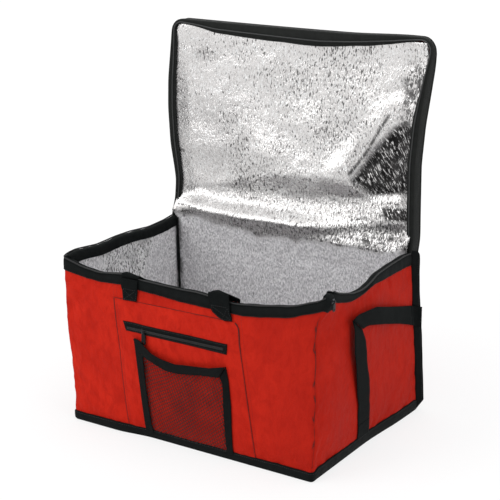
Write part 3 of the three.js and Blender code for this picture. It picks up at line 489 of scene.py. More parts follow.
def stitchData(points, normals, length=2.6, pitch=4.2, width=0.5, height=0.4):
    # thread stitches along a line: a small lozenge for each
    points, normals = np.asarray(points, float), np.asarray(normals, float)
    normals = np.broadcast_to(normals, points.shape)
    run = np.concatenate([[0], np.cumsum(np.linalg.norm(np.diff(points, axis=0), axis=1))])
    at = np.arange(pitch / 2, run[-1] - pitch / 2, pitch)

    def pick(s, data):
        return np.stack([np.interp(s, run, data[:, k]) for k in range(3)], -1)

    centre, n = pick(at, points), pick(at, normals)
    along = pick(at + 1, points) - pick(at - 1, points)
    along /= np.linalg.norm(along, axis=1, keepdims=True)
    n /= np.linalg.norm(n, axis=1, keepdims=True)
    side = np.cross(n, along)
    a, b = centre - along * length / 2, centre + along * length / 2
    corners = np.stack([a, centre + side * width, centre - side * width, b, centre + n * height], 1)
    base = (np.arange(len(at)) * 5)[:, None]
    tris = np.array([[0, 4, 1], [1, 4, 3], [3, 4, 2], [2, 4, 0], [0, 1, 3], [0, 3, 2]])
    faces = (base[:, :, None] + tris[None]).reshape(-1, 3).tolist()
    return corners.reshape(-1, 3), faces, np.zeros((len(at) * 5, 2))


# Materials
def linear(hexText):
    # an sRGB hex colour as linear light, by the standard curve
    parts = [int(hexText[i:i + 2], 16) / 255 for i in (0, 2, 4)]
    return [c / 12.92 if c <= 0.04045 else ((c + 0.055) / 1.055) ** 2.4 for c in parts] + [1]


def addNode(tree, kind, inputs=(), out=0, **settings):
    # adds a node with its settings and inputs, in order or by name; gives one output, or all for None
    node = tree.nodes.new("ShaderNode" + kind)
    for key, value in settings.items():
        setattr(node, key, value)
    for key, value in inputs.items() if isinstance(inputs, dict) else enumerate(inputs):
        if isinstance(value, bpy.types.NodeSocket):
            tree.links.new(value, node.inputs[key])
        else:
            node.inputs[key].default_value = value
    return node.outputs if out is None else node.outputs[out]


def newMaterial(name, **constants):
    # a material with its shader's plain values
    material = bpy.data.materials.new(name)
    material.use_nodes = True
    tree = material.node_tree
    shader = tree.nodes["Principled BSDF"]
    for key, value in constants.items():
        shader.inputs[key.replace("_", " ")].default_value = value
    return material, tree, shader


def clothPlace(tree, wide=1.0, long=1.0, shift=(0, 0, 0), turn=0.0):
    # the cloth's own map, which is in mm, as repeats of a pattern that many mm wide and long
    place = addNode(tree, "UVMap", uv_map="cloth")
    if turn:
        place = addNode(tree, "Mapping", {"Vector": place, "Rotation": (0, 0, turn)})
    return addNode(tree, "Mapping", {"Vector": place, "Scale": (1 / wide, 1 / long, 1), "Location": shift})


def objectPlace(tree):
    # the place in the bag, in mm
    place = addNode(tree, "TexCoord", out="Object")
    return addNode(tree, "Mapping", {"Vector": place, "Scale": (1000, 1000, 1000)})


def layered(tree, base, *layers):
    # a colour with others laid over it: each covers up to most of it as its value goes from start to full
    tone = linear(base) if isinstance(base, str) else base
    for value, start, full, most, over in layers:
        share = addNode(tree, "MapRange", (value, start, full, 0.0, most))
        over = linear(over) if isinstance(over, str) else over
        tone = addNode(tree, "Mix", {0: share, 6: tone, 7: over}, 2, data_type="RGBA")
    return tone


def emboss(tree, shader, *layers):
    # relief, coarse to fine: each layer has its height, its strength and its depth in mm
    normal = None
    for height, strength, depth in layers:
        inputs = {"Height": height, "Strength": strength, "Distance": depth * mm}
        if normal:
            inputs["Normal"] = normal
        normal = addNode(tree, "Bump", inputs)
    tree.links.new(normal, shader.inputs["Normal"])


waveRepeat = 0.314  # a wave texture of scale 1 repeats after this many units

# The film's patterns: width and length in mm, shift, turn, detail, roughness and distortion. The real dimples
# are about 1 mm, so they are drawn as coarse as they need to be to show
foilPatterns = {
    "grain": (2.5, 5.882, (0, 0, 0), 0.0, 2.0, 0.6, 0.4),
    "pits": (2.941, 8.0, (31, 17, 0), 0.0, 2.0, 0.6, 0.6),
    "sparks": (4.167, 11.11, (5, 71, 0), 0.0, 2.0, 0.55, 0.9),
    "paintedStreaks": (2.381, 13.33, (11, 3, 0), -0.6, 2.0, 0.55, 0.5),
    "curls": (23.81, 33.33, (3, 41, 0), 0.0, 3.0, 0.6, 2.4),
    "broad": (50.0, 50.0, (0, 0, 0), 0.0, 3.0, 0.6, 0.8),
}


def redCloth():
    # plain woven polyester, coated behind: a flat strong red with soft blotches, and painted shade that
    # darkens it towards the right, whatever the light. Its threads are 0.9 mm apart here, coarser than the
    # real 0.3 mm, so that they show
    material, tree, shader = newMaterial("woven oxford polyester, red", Specular_IOR_Level=0.05)
    place = clothPlace(tree)
    broad = addNode(tree, "TexNoise", {"Vector": place, "Scale": 0.012, "Detail": 3.0}, "Fac")
    fine = addNode(tree, "TexNoise", {"Vector": place, "Scale": 0.5, "Detail": 3.0, "Roughness": 0.7}, "Fac")
    mottle = addNode(tree, "TexNoise", {"Vector": clothPlace(tree, 18.18, 28.57), "Scale": 1.0, "Detail": 4.0,
                                        "Roughness": 0.6, "Distortion": 0.6}, "Fac")
    soft = addNode(tree, "TexNoise", {"Vector": clothPlace(tree, 12.5, 22.22), "Scale": 1.0, "Detail": 3.0,
                                      "Distortion": 0.6}, "Fac")
    # painted shade: the red darkens from x 60 to 250 mm, towards the right
    across = addNode(tree, "SeparateXYZ", [objectPlace(tree)], "X")
    tone = layered(tree, "BA2113", (broad, 0.3, 0.7, 1.0, "CD2A19"), (mottle, 0.42, 0.68, 0.6, "A71A0E"),
                   (across, 60.0, 250.0, 0.5, "A01D13"), (fine, 0.45, 0.75, 0.16, "A0140A"))
    tree.links.new(tone, shader.inputs["Base Color"])
    tree.links.new(addNode(tree, "MapRange", (broad, 0.3, 0.7, 0.55, 0.68)), shader.inputs["Roughness"])
    waves = [addNode(tree, "TexWave", {"Vector": place, "Scale": waveRepeat / 0.9, "Distortion": 0.0}, "Fac",
                     bands_direction=way) for way in ("X", "Y")]
    weave = addNode(tree, "Math", waves, operation="MULTIPLY")
    emboss(tree, shader, (soft, 0.75, 3.0), (weave, 0.35, 0.2))
    return material


def blackTape(name, hexText, pitch, ribs, roughness=0.6):
    # woven tape, faded in places: ribs across it at the pitch in mm
    material, tree, shader = newMaterial(name, Specular_IOR_Level=0.07, Roughness=roughness)
    place = clothPlace(tree)
    noise = addNode(tree, "TexNoise", {"Vector": place, "Scale": 0.07, "Detail": 5.0, "Roughness": 0.65},
                    "Fac")
    dark = linear(hexText)
    pale = [c * 3.2 for c in dark[:3]] + [1]
    tree.links.new(layered(tree, dark, (noise, 0.0, 1.0, 1.0, pale)), shader.inputs["Base Color"])
    wave = addNode(tree, "TexWave", {"Vector": place, "Scale": waveRepeat / pitch, "Distortion": 0.4,
                                     "Detail": 1.0}, "Fac", bands_direction=ribs)
    emboss(tree, shader, (noise, 0.4, 1.5), (wave, 0.6, 0.4))
    return material


def foilFilm():
    # aluminised film over foam: a mirror broken into bright dimples on the lid, with painted black
    # reflections where a dent turns away and painted white glints, and a duller, smoother grey on the walls
    # with painted highlights on its crinkles. The piece's film attribute says which: it also holds the
    # painted shade of the dark tuck and the painted reflection flecks, painted where the photograph's film
    # reflects something dark
    material, tree, shader = newMaterial("aluminised foil film")
    painted = addNode(tree, "Attribute", out="Color", attribute_name="film")
    gloss, shade, reflectionFlecks = addNode(tree, "SeparateColor", [painted], None)[:3]
    noises = []
    for wide, long, shift, turn, detail, rough, bent in foilPatterns.values():
        inputs = {"Vector": clothPlace(tree, wide, long, shift, turn), "Scale": 1.0, "Detail": detail,
                  "Roughness": rough, "Distortion": bent}
        noises.append(addNode(tree, "TexNoise", inputs, "Fac"))
    grain, pits, sparks, paintedStreaks, curls, broad = noises
    # painted dark reflections: black flecks where the pits pass a limit, set lower where the flecks are to be
    # thick
    limit = addNode(tree, "MapRange", (reflectionFlecks, 0.0, 1.0, 0.68, 0.46))
    above = addNode(tree, "Math", (limit, 0.06), operation="ADD")
    dark = addNode(tree, "MapRange", (pits, limit, above, 0.0, 0.85))
    # painted highlights: pale streaks let through the painted shade
    streak = addNode(tree, "MapRange", (paintedStreaks, 0.555, 0.62, 0.0, 0.95))
    unlit = addNode(tree, "Math", (1.0, streak), operation="SUBTRACT")
    cover = addNode(tree, "Math", (shade, unlit), operation="MULTIPLY")
    black = addNode(tree, "Math", (dark, cover), operation="MAXIMUM")
    # on the walls, painted highlights along the crinkles with painted shade just beside them, and painted
    # white flecks where the flecks are to be thick
    off = addNode(tree, "Math", (curls, 0.5), operation="SUBTRACT")
    ridge = addNode(tree, "Math", [off], operation="ABSOLUTE")
    onWalls = layered(tree, "B4B2B5", (grain, 0.36, 0.62, 1.0, "FFFDFE"), (ridge, 0.02, 0.0, 0.8, "FFFFFF"),
                      (ridge, 0.05, 0.09, 0.3, "9A989B"), (reflectionFlecks, 0.3, 0.6, 0.85, "FFFFFF"))
    # painted glints: white sparks on the lid
    onLid = layered(tree, "E6E3E2", (broad, 0.35, 0.7, 0.6, "F8F6F5"), (sparks, 0.54, 0.60, 0.72, "FFFFFF"))
    # painted shade and painted dark reflections turn the film near black
    tone = layered(tree, onWalls, (gloss, 0.0, 1.0, 1.0, onLid), (black, 0.0, 1.0, 1.0, "0B0A0A"))
    tree.links.new(tone, shader.inputs["Base Color"])
    tree.links.new(addNode(tree, "MapRange", (gloss, 0.0, 1.0, 0.15, 0.92)), shader.inputs["Metallic"])
    rough = [addNode(tree, "MapRange", (gloss, 0.0, 1.0, 0.5, 0.26)),
             addNode(tree, "MapRange", (grain, 0.3, 0.7, -0.05, 0.05))]
    tree.links.new(addNode(tree, "Math", rough, operation="ADD"), shader.inputs["Roughness"])
    slow = addNode(tree, "MapRange", (gloss, 0.0, 1.0, 0.08, 0.4))
    quick = addNode(tree, "MapRange", (gloss, 0.0, 1.0, 0.3, 0.8))
    emboss(tree, shader, (broad, slow, 5.0), (grain, quick, 1.4))
    return material


def plainFinish(name, hexText, roughness, metallic=0.0, grain=1.5, worn=1.35):
    # moulded, cast or spun pieces: one colour with a faint grain of that many mm, paler where it is worn
    material, tree, shader = newMaterial(name, Metallic=metallic)
    noise = addNode(tree, "TexNoise", {"Vector": objectPlace(tree), "Scale": 1 / grain, "Detail": 3.0}, "Fac")
    dark = linear(hexText)
    pale = [min(1, c * worn) for c in dark[:3]] + [1]
    rough = addNode(tree, "MapRange", (noise, 0.0, 1.0, roughness * 0.85, roughness * 1.15))
    tree.links.new(layered(tree, dark, (noise, 0.0, 1.0, 1.0, pale)), shader.inputs["Base Color"])
    tree.links.new(rough, shader.inputs["Roughness"])
    emboss(tree, shader, (noise, 0.5, 0.08))
    return material


red = redCloth()
foil = foilFilm()
# Tapes: ribbed and matt, the gusset's a little paler; the webbing's ribs are coarser and run along it
binding = blackTape("grosgrain binding tape, black", "0A0C0C", 1.1, "X", 0.65)
gusset = blackTape("polyester gusset tape, paler black", "151615", 1.1, "X", 0.5)
webbing = blackTape("polypropylene webbing, black", "080A0A", 1.9, "Y", 0.8)
# Zips: soft-edged nylon that shines a little, and plated zinc that glints where it is worn
coilBlack = plainFinish("moulded nylon coil", "0A0B0C", 0.5, grain=1.2)
# the lid's coil is the same nylon as the rim's, painted paler grey as its sheen
coilGrey = plainFinish("moulded nylon coil, lid", "2B2C2C", 0.4, grain=1.2)
zinc = plainFinish("black-plated zinc slider", "4A4C4F", 0.28, 1.0, 2.0, worn=2.2)
zincPull = plainFinish("black-plated zinc pull", "08090A", 0.4, 0.6, 2.0, worn=2.0)
# Threads: matt. The net and the red thread are darker than the cloth behind them, the black thread paler
# than its tape, and the painted shadow of the turned seams and of the front corner's crease is a dark red
# line
netThread = plainFinish("knotted polyester net", "140907", 0.7, grain=1.0)
sewingRed = plainFinish("sewing thread, red", "7A0D09", 0.7, grain=0.6)
sewingBlack = plainFinish("sewing thread, black", "2B2D2E", 0.6, grain=0.6)
seamShadow = plainFinish("painted seam shadow, dark red", "4A0805", 0.8, grain=1.0)


def finishPiece(obj, material, slot, body, *replaced):
    # gives a piece its material, the body that it rides and the solids that it stands for. Its slot is not
    # used
    obj.data.materials.append(material)
    if body:
        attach(obj, body)
    if replaced:
        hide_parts(*replaced)
    return obj


def paintFilm(obj, gloss, shade, reflectionFlecks):
    # where the film is glossy, its painted shade and its painted reflection flecks, as a colour on each point
    layer = obj.data.color_attributes.new(name="film", type="FLOAT_COLOR", domain="POINT")
    channels = np.stack([np.ravel(gloss), np.ravel(shade), np.ravel(reflectionFlecks), np.ones(np.size(gloss))], -1)
    layer.data.foreach_set("color", np.clip(channels, 0, 1).ravel())


print("materials ready")

# Outer cloth: one shell round the four walls, closed underneath
outerSpec = {"step": 4.0, "foot": 1.0, "hem": 3.0}
ps = np.linspace(0, girth, int(girth / outerSpec["step"]), endpoint=False)
rows = np.linspace(0, 1, 96)
pGrid, hGrid = np.meshgrid(ps, rows)
zGrid = outerSpec["foot"] + hGrid * (rimTop(pGrid) - outerSpec["hem"] - outerSpec["foot"])
shell = wall(pGrid, zGrid)
bottom = shell[0] * np.array([0.02, 0.3, 0.6, 0.85, 0.975])[:, None, None]
bottom[..., 2] = outerSpec["foot"] - 0.4
shell = np.concatenate([bottom, shell])
lengths = np.concatenate([-np.array([1, 0.7, 0.4, 0.15, 0.03]) * 180, rows * 320])
uvGrid = np.stack(np.meshgrid(ps, lengths), -1)
faces = gridFaces(*shell.shape[:2], wrapCols=True) + [list(range(len(ps)))[::-1]]
outerCloth = makeMesh("outerCloth", shell, faces, uvGrid)
solid = outerCloth.modifiers.new("thickness", "SOLIDIFY")
solid.thickness = 1.1 * mm
solid.offset = -1
finishPiece(outerCloth, red, "red_cloth", "bag", "front_outer", "back_outer", "left_outer", "right_outer",
            "base_outer", "base_board", "front_foam", "back_foam", "left_foam", "right_foam", "base_foam")
print("outer cloth", len(outerCloth.data.vertices))


# Foil lining of the left, front and right walls
def foilRelief(u, v, seed=0):
    # crumpled film: soft pillows, then sharp creases at two sizes, in mm
    slow = 1.5 * fractal(u / 90, v / 80, 61 + seed, 2)
    creases = 0.6 * ridges(u / 30 + 0.3 * valueNoise(u / 30, v / 30, 5), v / 34, 71 + seed)
    small = 0.25 * ridges(u / 10, v / 14, 81 + seed)
    return slow + creases + small


liningSpec = {"inset": 8.6, "foot": 11.0, "hem": 8.0}
ps = np.linspace(backLeft + 4, backRight + girth - 4, 330)
rows = np.linspace(0, 1, 74)
pGrid, hGrid = np.meshgrid(ps, rows)
zGrid = liningSpec["foot"] + hGrid * (rimTop(pGrid) - liningSpec["hem"] - liningSpec["foot"])
deep = smoothstep(0, 0.06, hGrid) * smoothstep(0, 25, rimTop(pGrid) - zGrid - 14)
ends = smoothstep(0, 18, pGrid - ps[0]) * smoothstep(0, 18, ps[-1] - pGrid)
relief = foilRelief(pGrid, zGrid) * deep * ends
lining = wall(pGrid, zGrid, -liningSpec["inset"] - relief, relief=0.3 * deep)
foilWalls = sheetMesh("foilWalls", lining, 0.5, flip=True)
# painted highlight: a pale flecked patch inside the left wall, with painted shade mottled through it; the
# rest of the walls gets a few painted reflection flecks
bright = smoothstep(1562, 1582, pGrid + 0.66 * (zGrid - 305)) * smoothstep(1780, 1735, pGrid)
clouds = smoothstep(0.1, 0.6, fractal(pGrid / 24, zGrid / 20, 151, 2))
paintFilm(foilWalls, 0.35 * bright, 0.3 * bright * clouds, 0.10 + 0.62 * bright)
finishPiece(foilWalls, foil, "foil_lining", "bag", "front_lining", "left_lining", "right_lining")

# Foil floor, back wall and lid: one sheet that folds at the hinge. The outline gives x at heights up the
# lid, and the folds' lines give heights at places across it, all in mm
lidOutlineSpec = {
    "leftUp": [-40, -10, 5, 51, 83, 124, 198, 257, 315, 380],
    "leftX": [-283, -281, -276, -275, -282, -292, -301, -303, -300, -297],
    "rightUp": [-40, -10, 5, 52, 144, 218, 303, 345, 380],
    "rightX": [269, 272, 273, 270, 265, 268, 277, 283, 287],
    "top": 379.0, "lift": 4.0, "radius": 24.0,
}
foldSpec = {
    "lowCrest": ([-300, -215, -117, 24, 136, 270], [8, 3, 0, 2, 18, 32]),
    "valley": ([-300, -217, -144, -4, 108, 195, 270], [36, 40, 48, 54, 62, 78, 84]),
    "highCrest": ([-300, -217, -144, -4, 108, 195, 270], [38, 44, 68, 99, 101, 93, 98]),
    "smoothWall": ([-280, -164, -67, 26, 120, 200, 270], [327, 319, 306, 314, 317, 316, 322]),
}


def lidLeft(up):
    # the lid's left edge, as read off the photograph
    return softLine(up, lidOutlineSpec["leftUp"], lidOutlineSpec["leftX"], 16)


def lidRight(up):
    # the lid's right edge, as read off the photograph
    return softLine(up, lidOutlineSpec["rightUp"], lidOutlineSpec["rightX"], 16)


def softFolds(x, up):
    # the loose film above the hinge, how far it stands forward: a low crest, a valley, a high crest that
    # dies out to both ends, and slanting waves above
    low, mid, high = (softLine(x, *foldSpec[key], 24) for key in ("lowCrest", "valley", "highCrest"))
    amount = np.clip((high - mid) / 44, 0, 1)
    crest = (np.maximum(high, mid + 8), -1.5 + 5.5 * amount)
    shape = stepped(up, (low - 26, -5.0), (low, 7.5), (mid, -1.5), crest, (high + 75, 0.5))
    slant = 2.4 * valueNoise((x + 0.5 * up) / 70, (up - 0.3 * x) / 150, 91)
    broad = 3.0 * fractal(x / 170, up / 120, 97, 2)
    tuck = smoothstep(190, 90, lineDistance(x, up, [(120, 95), (160, 146), (222, 222)]) * 3)
    tuck = 4.5 * tuck * smoothstep(0, 30, up - 60)
    away = insidePolygon(x, up, [(178, 71), (300, 100), (300, 222), (220, 215), (160, 146), (132, 100)], 14)
    above = smoothstep(60, 150, up)
    return shape + above * (slant + broad) + tuck - 7 * away


# Rows of the sheet on the floor, up the wall and up the lid, in mm, and columns from edge to edge
floorRun = np.linspace(-172, 166, 44)
wallRun = np.linspace(16, 322, 88)
lidRun = np.linspace(-14, 371, 132)
cols = np.linspace(0, 1, 176)


def backSheet():
    # rows run from the front of the floor back, up the back wall, over the fold and up the lid. Each part is
    # its plain face less the crumpled relief, which dies away at the sewn edges
    y = floorRun[:, None]
    left, right = (plan(sidePlace(y, 11.0, side), 11.0)[..., 0] - 6.5 * side for side in (-1, 1))
    x = left + (right - left) * cols
    rounded = 6 * (1 - np.sqrt(1 - np.clip((y - 155) / 15, 0, 1) ** 2))
    floorRows = np.stack(np.broadcast_arrays(x, y, 11.5 + 0.35 * foilRelief(x, y, 3) + rounded), -1)

    z = wallRun[:, None]
    p = np.linspace(backLeft - 5, backRight + 5, len(cols))
    edge = smoothstep(0, 0.04, cols) * smoothstep(0, 0.04, 1 - cols)
    ripple = foilRelief(p, z, 7) * edge * (0.7 + 0.3 * smoothstep(250, 320, z))
    inset = 9.0 + 8 * np.exp(-((z - 11) / 9) ** 2)
    wallRows = wall(p, z, -inset - ripple - 4 * edge * smoothstep(270, 322, z), relief=0.2)

    up = lidRun[:, None]
    inTop = smoothstep(345, 374, up)
    left, right = lidLeft(up) + 5 + 9 * inTop, lidRight(up) - 5 - 7 * inTop
    x = left + (right - left) * cols
    up = up + lidOutlineSpec["lift"] * inTop * smoothstep(90, 240, x)
    within = smoothstep(0, 46, x - left) * smoothstep(0, 36, right - x) * smoothstep(0, 50, 374 - up)
    low = 1 - smoothstep(-14, 26, up)
    relief = (0.8 * foilRelief(x, up + 400, 11) + softFolds(x, up)) * within
    lidRows = lidPoint(x, up, (2.0 + 8.5 * within) * (1 - low) - 11 * low - relief)
    return np.concatenate([floorRows, wallRows, lidRows])


sheetPoints = backSheet()
foilSheet = sheetMesh("foilSheet", sheetPoints, 0.5, flip=False)


def sheetFilm(points):
    # the film's brightness, painted shade and painted reflection flecks over floor, back wall and lid: each
    # painted dark part of it, shade in a crease, fold or seam or a dark reflection, is an outline or a line
    # on the sheet with a soft edge, and the darkest one at a point counts
    x = points[..., 0]
    row = np.broadcast_to(np.arange(points.shape[0])[:, None], x.shape)
    onLid = row >= len(floorRun) + len(wallRun)
    z = points[..., 2]
    up = np.where(onLid, (z - hingeZ) / math.cos(lidLean), z - hingeZ)
    top = softLine(x, *foldSpec["smoothWall"], 10) + 5 * fractal(x / 22, z / 30, 163, 2)
    gloss = np.where(onLid, 1.0, smoothstep(top - 8, top + 6, z))
    # painted dark reflection: near black where the tucked film turns away, over the lid's right
    wedge = insidePolygon(x, up, [(178, 68), (300, 96), (300, 226), (220, 217), (160, 146), (130, 98)], 9)
    wedge = wedge * (0.97 + 0.03 * fractal(x / 20, up / 20, 167))
    # painted dark reflection, low on the lid's right
    pocket = insidePolygon(x, up, [(208, 30), (253, 33), (300, 40), (300, 62), (251, 62), (194, 55)], 5)
    # painted dark reflection in blotches up the lid's right edge
    strip = smoothstep(214, 244, x) * smoothstep(205, 225, up) * smoothstep(352, 300, up)
    # painted shade along a crease in the lid
    crease = 0.85 * smoothstep(5, 1.2, lineDistance(x, up, [(203, 232), (163, 162), (127, 112)]))
    # painted shade in a short fold at the back left, by the rim
    hook = smoothstep(3.2, 1.0, lineDistance(x, z, [(-282, 334), (-262, 328), (-246, 323)]))
    hook = hook * smoothstep(30, 5, up)
    # painted shade in a slit at the lid's foot, on the left
    slit = 0.9 * smoothstep(3.0, 1.0, lineDistance(x, up, [(-262, 2), (-236, 1), (-214, -2)]))
    # painted shade, with more flecks, on the lid's upper left
    patch = bump(x, -222, 30) * bump(up, 315, 16)
    # painted shade: the lid's lower left a duller grey
    grey = 0.30 * smoothstep(-60, -190, x) * smoothstep(60, 110, up) * smoothstep(260, 180, up)
    high, mid = softLine(x, *foldSpec["highCrest"], 24), softLine(x, *foldSpec["valley"], 24)
    lens = smoothstep(mid - 5, mid + 7, up) * smoothstep(high + 5, high - 5, up)
    lens = lens * smoothstep(6, 22, high - mid)
    low = softLine(x, *foldSpec["lowCrest"], 24)
    # painted shade under the low crest
    under = smoothstep(low + 4, low - 7, up) * gloss
    # painted shade and painted dark blotches at the lid's lower right
    corner = smoothstep(150, 175, x) * smoothstep(8, 0, up) * gloss
    # painted shadow, patchy, beside the inner back-left seam
    seam = 0.6 * smoothstep(-252, -262, x) * smoothstep(-0.3, 0.5, fractal(x / 9, z / 13, 173, 2)) * (z < 322)
    # painted shade in short creases at the lid's left edge
    creaseShade = 0.9 * gloss * smoothstep(3.2, 1.0, lineDistance(x, up, [(-290, 134), (-278, 116), (-262, 110)]))
    # blotches for the painted dark reflections
    darkReflectionBlots = smoothstep(0.02, 0.3, fractal(x / 9, up / 13, 181, 2))
    # painted shade that dims the pillow between the low crest and the valley
    pillow = smoothstep(low - 3, low + 12, up) * smoothstep(mid + 12, mid - 4, up)
    shade = np.max([wedge, 0.97 * pocket, 0.9 * strip * darkReflectionBlots, crease, hook, slit, 0.8 * grey, 0.3 * under,
                    0.3 * patch, seam, creaseShade, 0.30 * pillow * (up > -10), 0.22 * corner,
                    0.9 * corner * darkReflectionBlots], axis=0)
    # how thick the painted reflection flecks are, thicker on the painted dark patches
    busy = 0.46 + 0.24 * fractal(x / 70, up / 90, 171, 2) + 0.14 * bump(x, 90, 90) * bump(up, 270, 90)
    busy = busy * smoothstep(-260, -140, x + 0.3 * (up - 200))
    busy = busy + 0.5 * patch + 0.7 * strip + 0.6 * corner + 0.35 * under
    reflectionFlecks = np.where(gloss > 0.5, np.clip(busy + 0.1 * lens + 0.12 * pillow, 0.24, 0.95), 0.10)
    return gloss, shade, reflectionFlecks


paintFilm(foilSheet, *sheetFilm(sheetPoints))
finishPiece(foilSheet, foil, "foil_lining", None, "base_lining", "back_lining", "lid_lining", "lid_foam")
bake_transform(foilSheet)
print("foil", len(foilWalls.data.vertices), len(foilSheet.data.vertices))


# Rim band, in two runs, and its zip coil
rimSpec = {
    "dropPlaces": [-370, -340, -200, -60, -20, 0, 40, 77, 130, 215, 261, 300, 350, 381, 397, 505, 560, 585,
                   612, 635, 657, 679, 702, 735, 755, 769, 791, 814, 900, 930],
    "drops": [22, 21, 21, 22, 23, 24, 19.5, 17.5, 20, 20.5, 23, 24.5, 21, 18.5, 20.5, 20.5, 22, 19.5, 16,
              16.5, 14.5, 12, 9.5, 9, 11, 16, 18, 20, 23, 23],
    "leftEnd": 8, "frontEnd": 23, "rightStart": 25, "cornerDrop": 9,
    "loopRise": 4.0, "loopIn": -2.4, "coilRadius": 1.5, "coilPitch": 2.4,
}


def rimDrop(p):
    # how far the band reaches down the wall at p mm round the girth, in mm
    return softLine(p, rimSpec["dropPlaces"], rimSpec["drops"], 7)


def profiles(count, *corners):
    # a profile for each of count places: its corners are pairs of numbers or of arrays, one number a place
    return np.stack([np.stack([a + np.zeros(count), b + np.zeros(count)], -1) for a, b in corners], 1)


def bandSection(d, puff):
    # cloth tape folded over the padded rim, d mm deep, as outward and above the rim points round its section
    return profiles(
        len(d), (2.3, -d), (2.6 + puff, -d * 0.6), (2.5 + puff, -6.0), (1.9, -2.4), (0.2, -0.4), (-2.6, 0.5),
        (-5.5, 0.7), (-8.6, 0.1), (-10.8, -1.8), (-11.9, -5.0), (-12.1, -d * 0.6), (-11.8, -d * 0.9),
        (-10.2, -d * 0.9), (-10.2, -6.4), (-8.6, -2.6), (-4.5, -1.2), (-0.6, -2.4), (0.7, -6.2), (0.9, -d))


def rimLoop(p):
    # the right run's free end stands up and in a little behind the front run's cut end
    end = smoothstep(frontRight + 52, frontRight + 20, p) * (p > frontRight - 20) * (p < frontRight + 60)
    return rimSpec["loopRise"] * end, rimSpec["loopIn"] * end


blackSeams = []  # every row of black stitches, made into one piece at the end


def rimBand(name, pFrom, pTo, looped, *replaced):
    # the band's section set on the wall's rim all along its run, a little wavy, with its row of stitches
    ps = np.linspace(pFrom, pTo, int((pTo - pFrom) / 4))
    drop = rimDrop(np.where(ps < 1000, ps, ps - girth))
    if not looped:
        drop = drop + rimSpec["cornerDrop"] * smoothstep(frontRight - 6, frontRight + 9, ps)
    section = bandSection(drop, 0.5 + 0.5 * valueNoise(ps / 21, 0.0, 7))
    out, above = section[..., 0], section[..., 1]
    wave = 0.5 * valueNoise(ps / 13, 3.0, 8)[:, None] * (above > -8)
    rise, shift = rimLoop(ps[:, None]) if looped else (0.0, 0.0)
    rings = wall(ps[:, None], rimTop(ps)[:, None] + above + wave + rise, out + shift, relief=0.8)
    face = flatOutward(ps, np.full(len(ps), 300.0))
    blackSeams.append(stitchData(rings[:, 0] * 0.86 + rings[:, 1] * 0.14 + 0.35 * face, face))
    return finishPiece(loftMesh(name, rings), binding, "black_trim", "bag", *replaced)


leftStart = backLeft + rimSpec["leftEnd"] - girth
rimBand("rimBandFront", leftStart, frontRight + rimSpec["frontEnd"], False, "rim_band_front", "rim_band_left")
rimBand("rimBandRight", frontRight + rimSpec["rightStart"], backRight - 8, True, "rim_band_right")


def coilRow(name, centres, ups, sides, radius, pitch, material, slot, *replaced):
    # a zip coil: a row of round beads run together, one for each turn of the coil
    path = resample(centres, pitch / 4)
    count = len(path)
    scale, base = np.linspace(0, 1, count), np.linspace(0, 1, len(ups))
    up = np.stack([np.interp(scale, base, np.asarray(ups)[:, k]) for k in range(3)], -1)[:, None]
    side = np.stack([np.interp(scale, base, np.asarray(sides)[:, k]) for k in range(3)], -1)[:, None]
    beads = 0.78 + 0.22 * np.abs(np.sin(np.arange(count) * math.pi / 4))
    angles = np.linspace(0, 2 * math.pi, 8, endpoint=False)[None, :, None]
    rings = path[:, None] + radius * beads[:, None, None] * (np.cos(angles) * side + np.sin(angles) * up)
    return finishPiece(loftMesh(name, rings), material, slot, None, *replaced)


def rimCoil(name, pFrom, pTo, looped, *replaced):
    # the coil that lies on the rim band's top edge
    ps = np.linspace(pFrom, pTo, int((pTo - pFrom) / 5))
    rise, shift = rimLoop(ps) if looped else (0.0, 0.0)
    centres = wall(ps, rimTop(ps) + 0.6 + rise, 1.4 + shift, relief=0.8)
    sides = flatOutward(ps, np.full(len(ps), 320.0))
    coil = coilRow(name, centres, np.tile([0, 0, 1.0], (len(ps), 1)), sides, rimSpec["coilRadius"],
                   rimSpec["coilPitch"], coilBlack, "nylon_coil", *replaced)
    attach(coil, "bag")


rimCoil("rimCoilFront", leftStart + 2, frontRight - 3, False, "rim_zip_front", "rim_zip_left")
rimCoil("rimCoilRight", frontRight + 27, backRight - 10, True, "rim_zip_right")
print("rim ready")


# Lid: cloth back, black band with its zip tape, coil
def lidPath():
    # the lid's free edge from the left end of the hinge round to the right end, as [x, up] points
    top, r = lidOutlineSpec["top"], lidOutlineSpec["radius"]
    ups = np.linspace(-27, top - r, 60)
    leftSide = np.stack([lidLeft(ups), ups], -1)
    xl, xr = float(lidLeft(top - r)), float(lidRight(top - r))
    angles = np.linspace(0, math.pi / 2, 10)[1:]
    cornerL = np.stack([xl + r - r * np.cos(angles), top - r + r * np.sin(angles)], -1)
    across = np.linspace(xl + r, xr - r, 60)[1:-1]
    sag = 1.2 * np.sin(np.linspace(0, math.pi, 58))
    lift = lidOutlineSpec["lift"]
    topSide = np.stack([across, top - sag + lift * smoothstep(90, 240, across)], -1)
    cornerR = np.stack([xr - r + r * np.sin(angles), top + lift - r + r * np.cos(angles)], -1)[:-1]
    cornerR = np.concatenate([[[xr - r, top + lift]], cornerR])
    rightSide = np.stack([lidRight(ups[::-1]), ups[::-1]], -1)
    return resample(np.concatenate([leftSide, cornerL, topSide, cornerR, rightSide]), 4.5)


edge = lidPath()
tangent = np.gradient(edge, axis=0)
tangent /= np.linalg.norm(tangent, axis=1, keepdims=True)
inward = np.stack([tangent[:, 1], -tangent[:, 0]], -1)
edgeRun = np.concatenate([[0], np.cumsum(np.linalg.norm(np.diff(edge, axis=0), axis=1))])
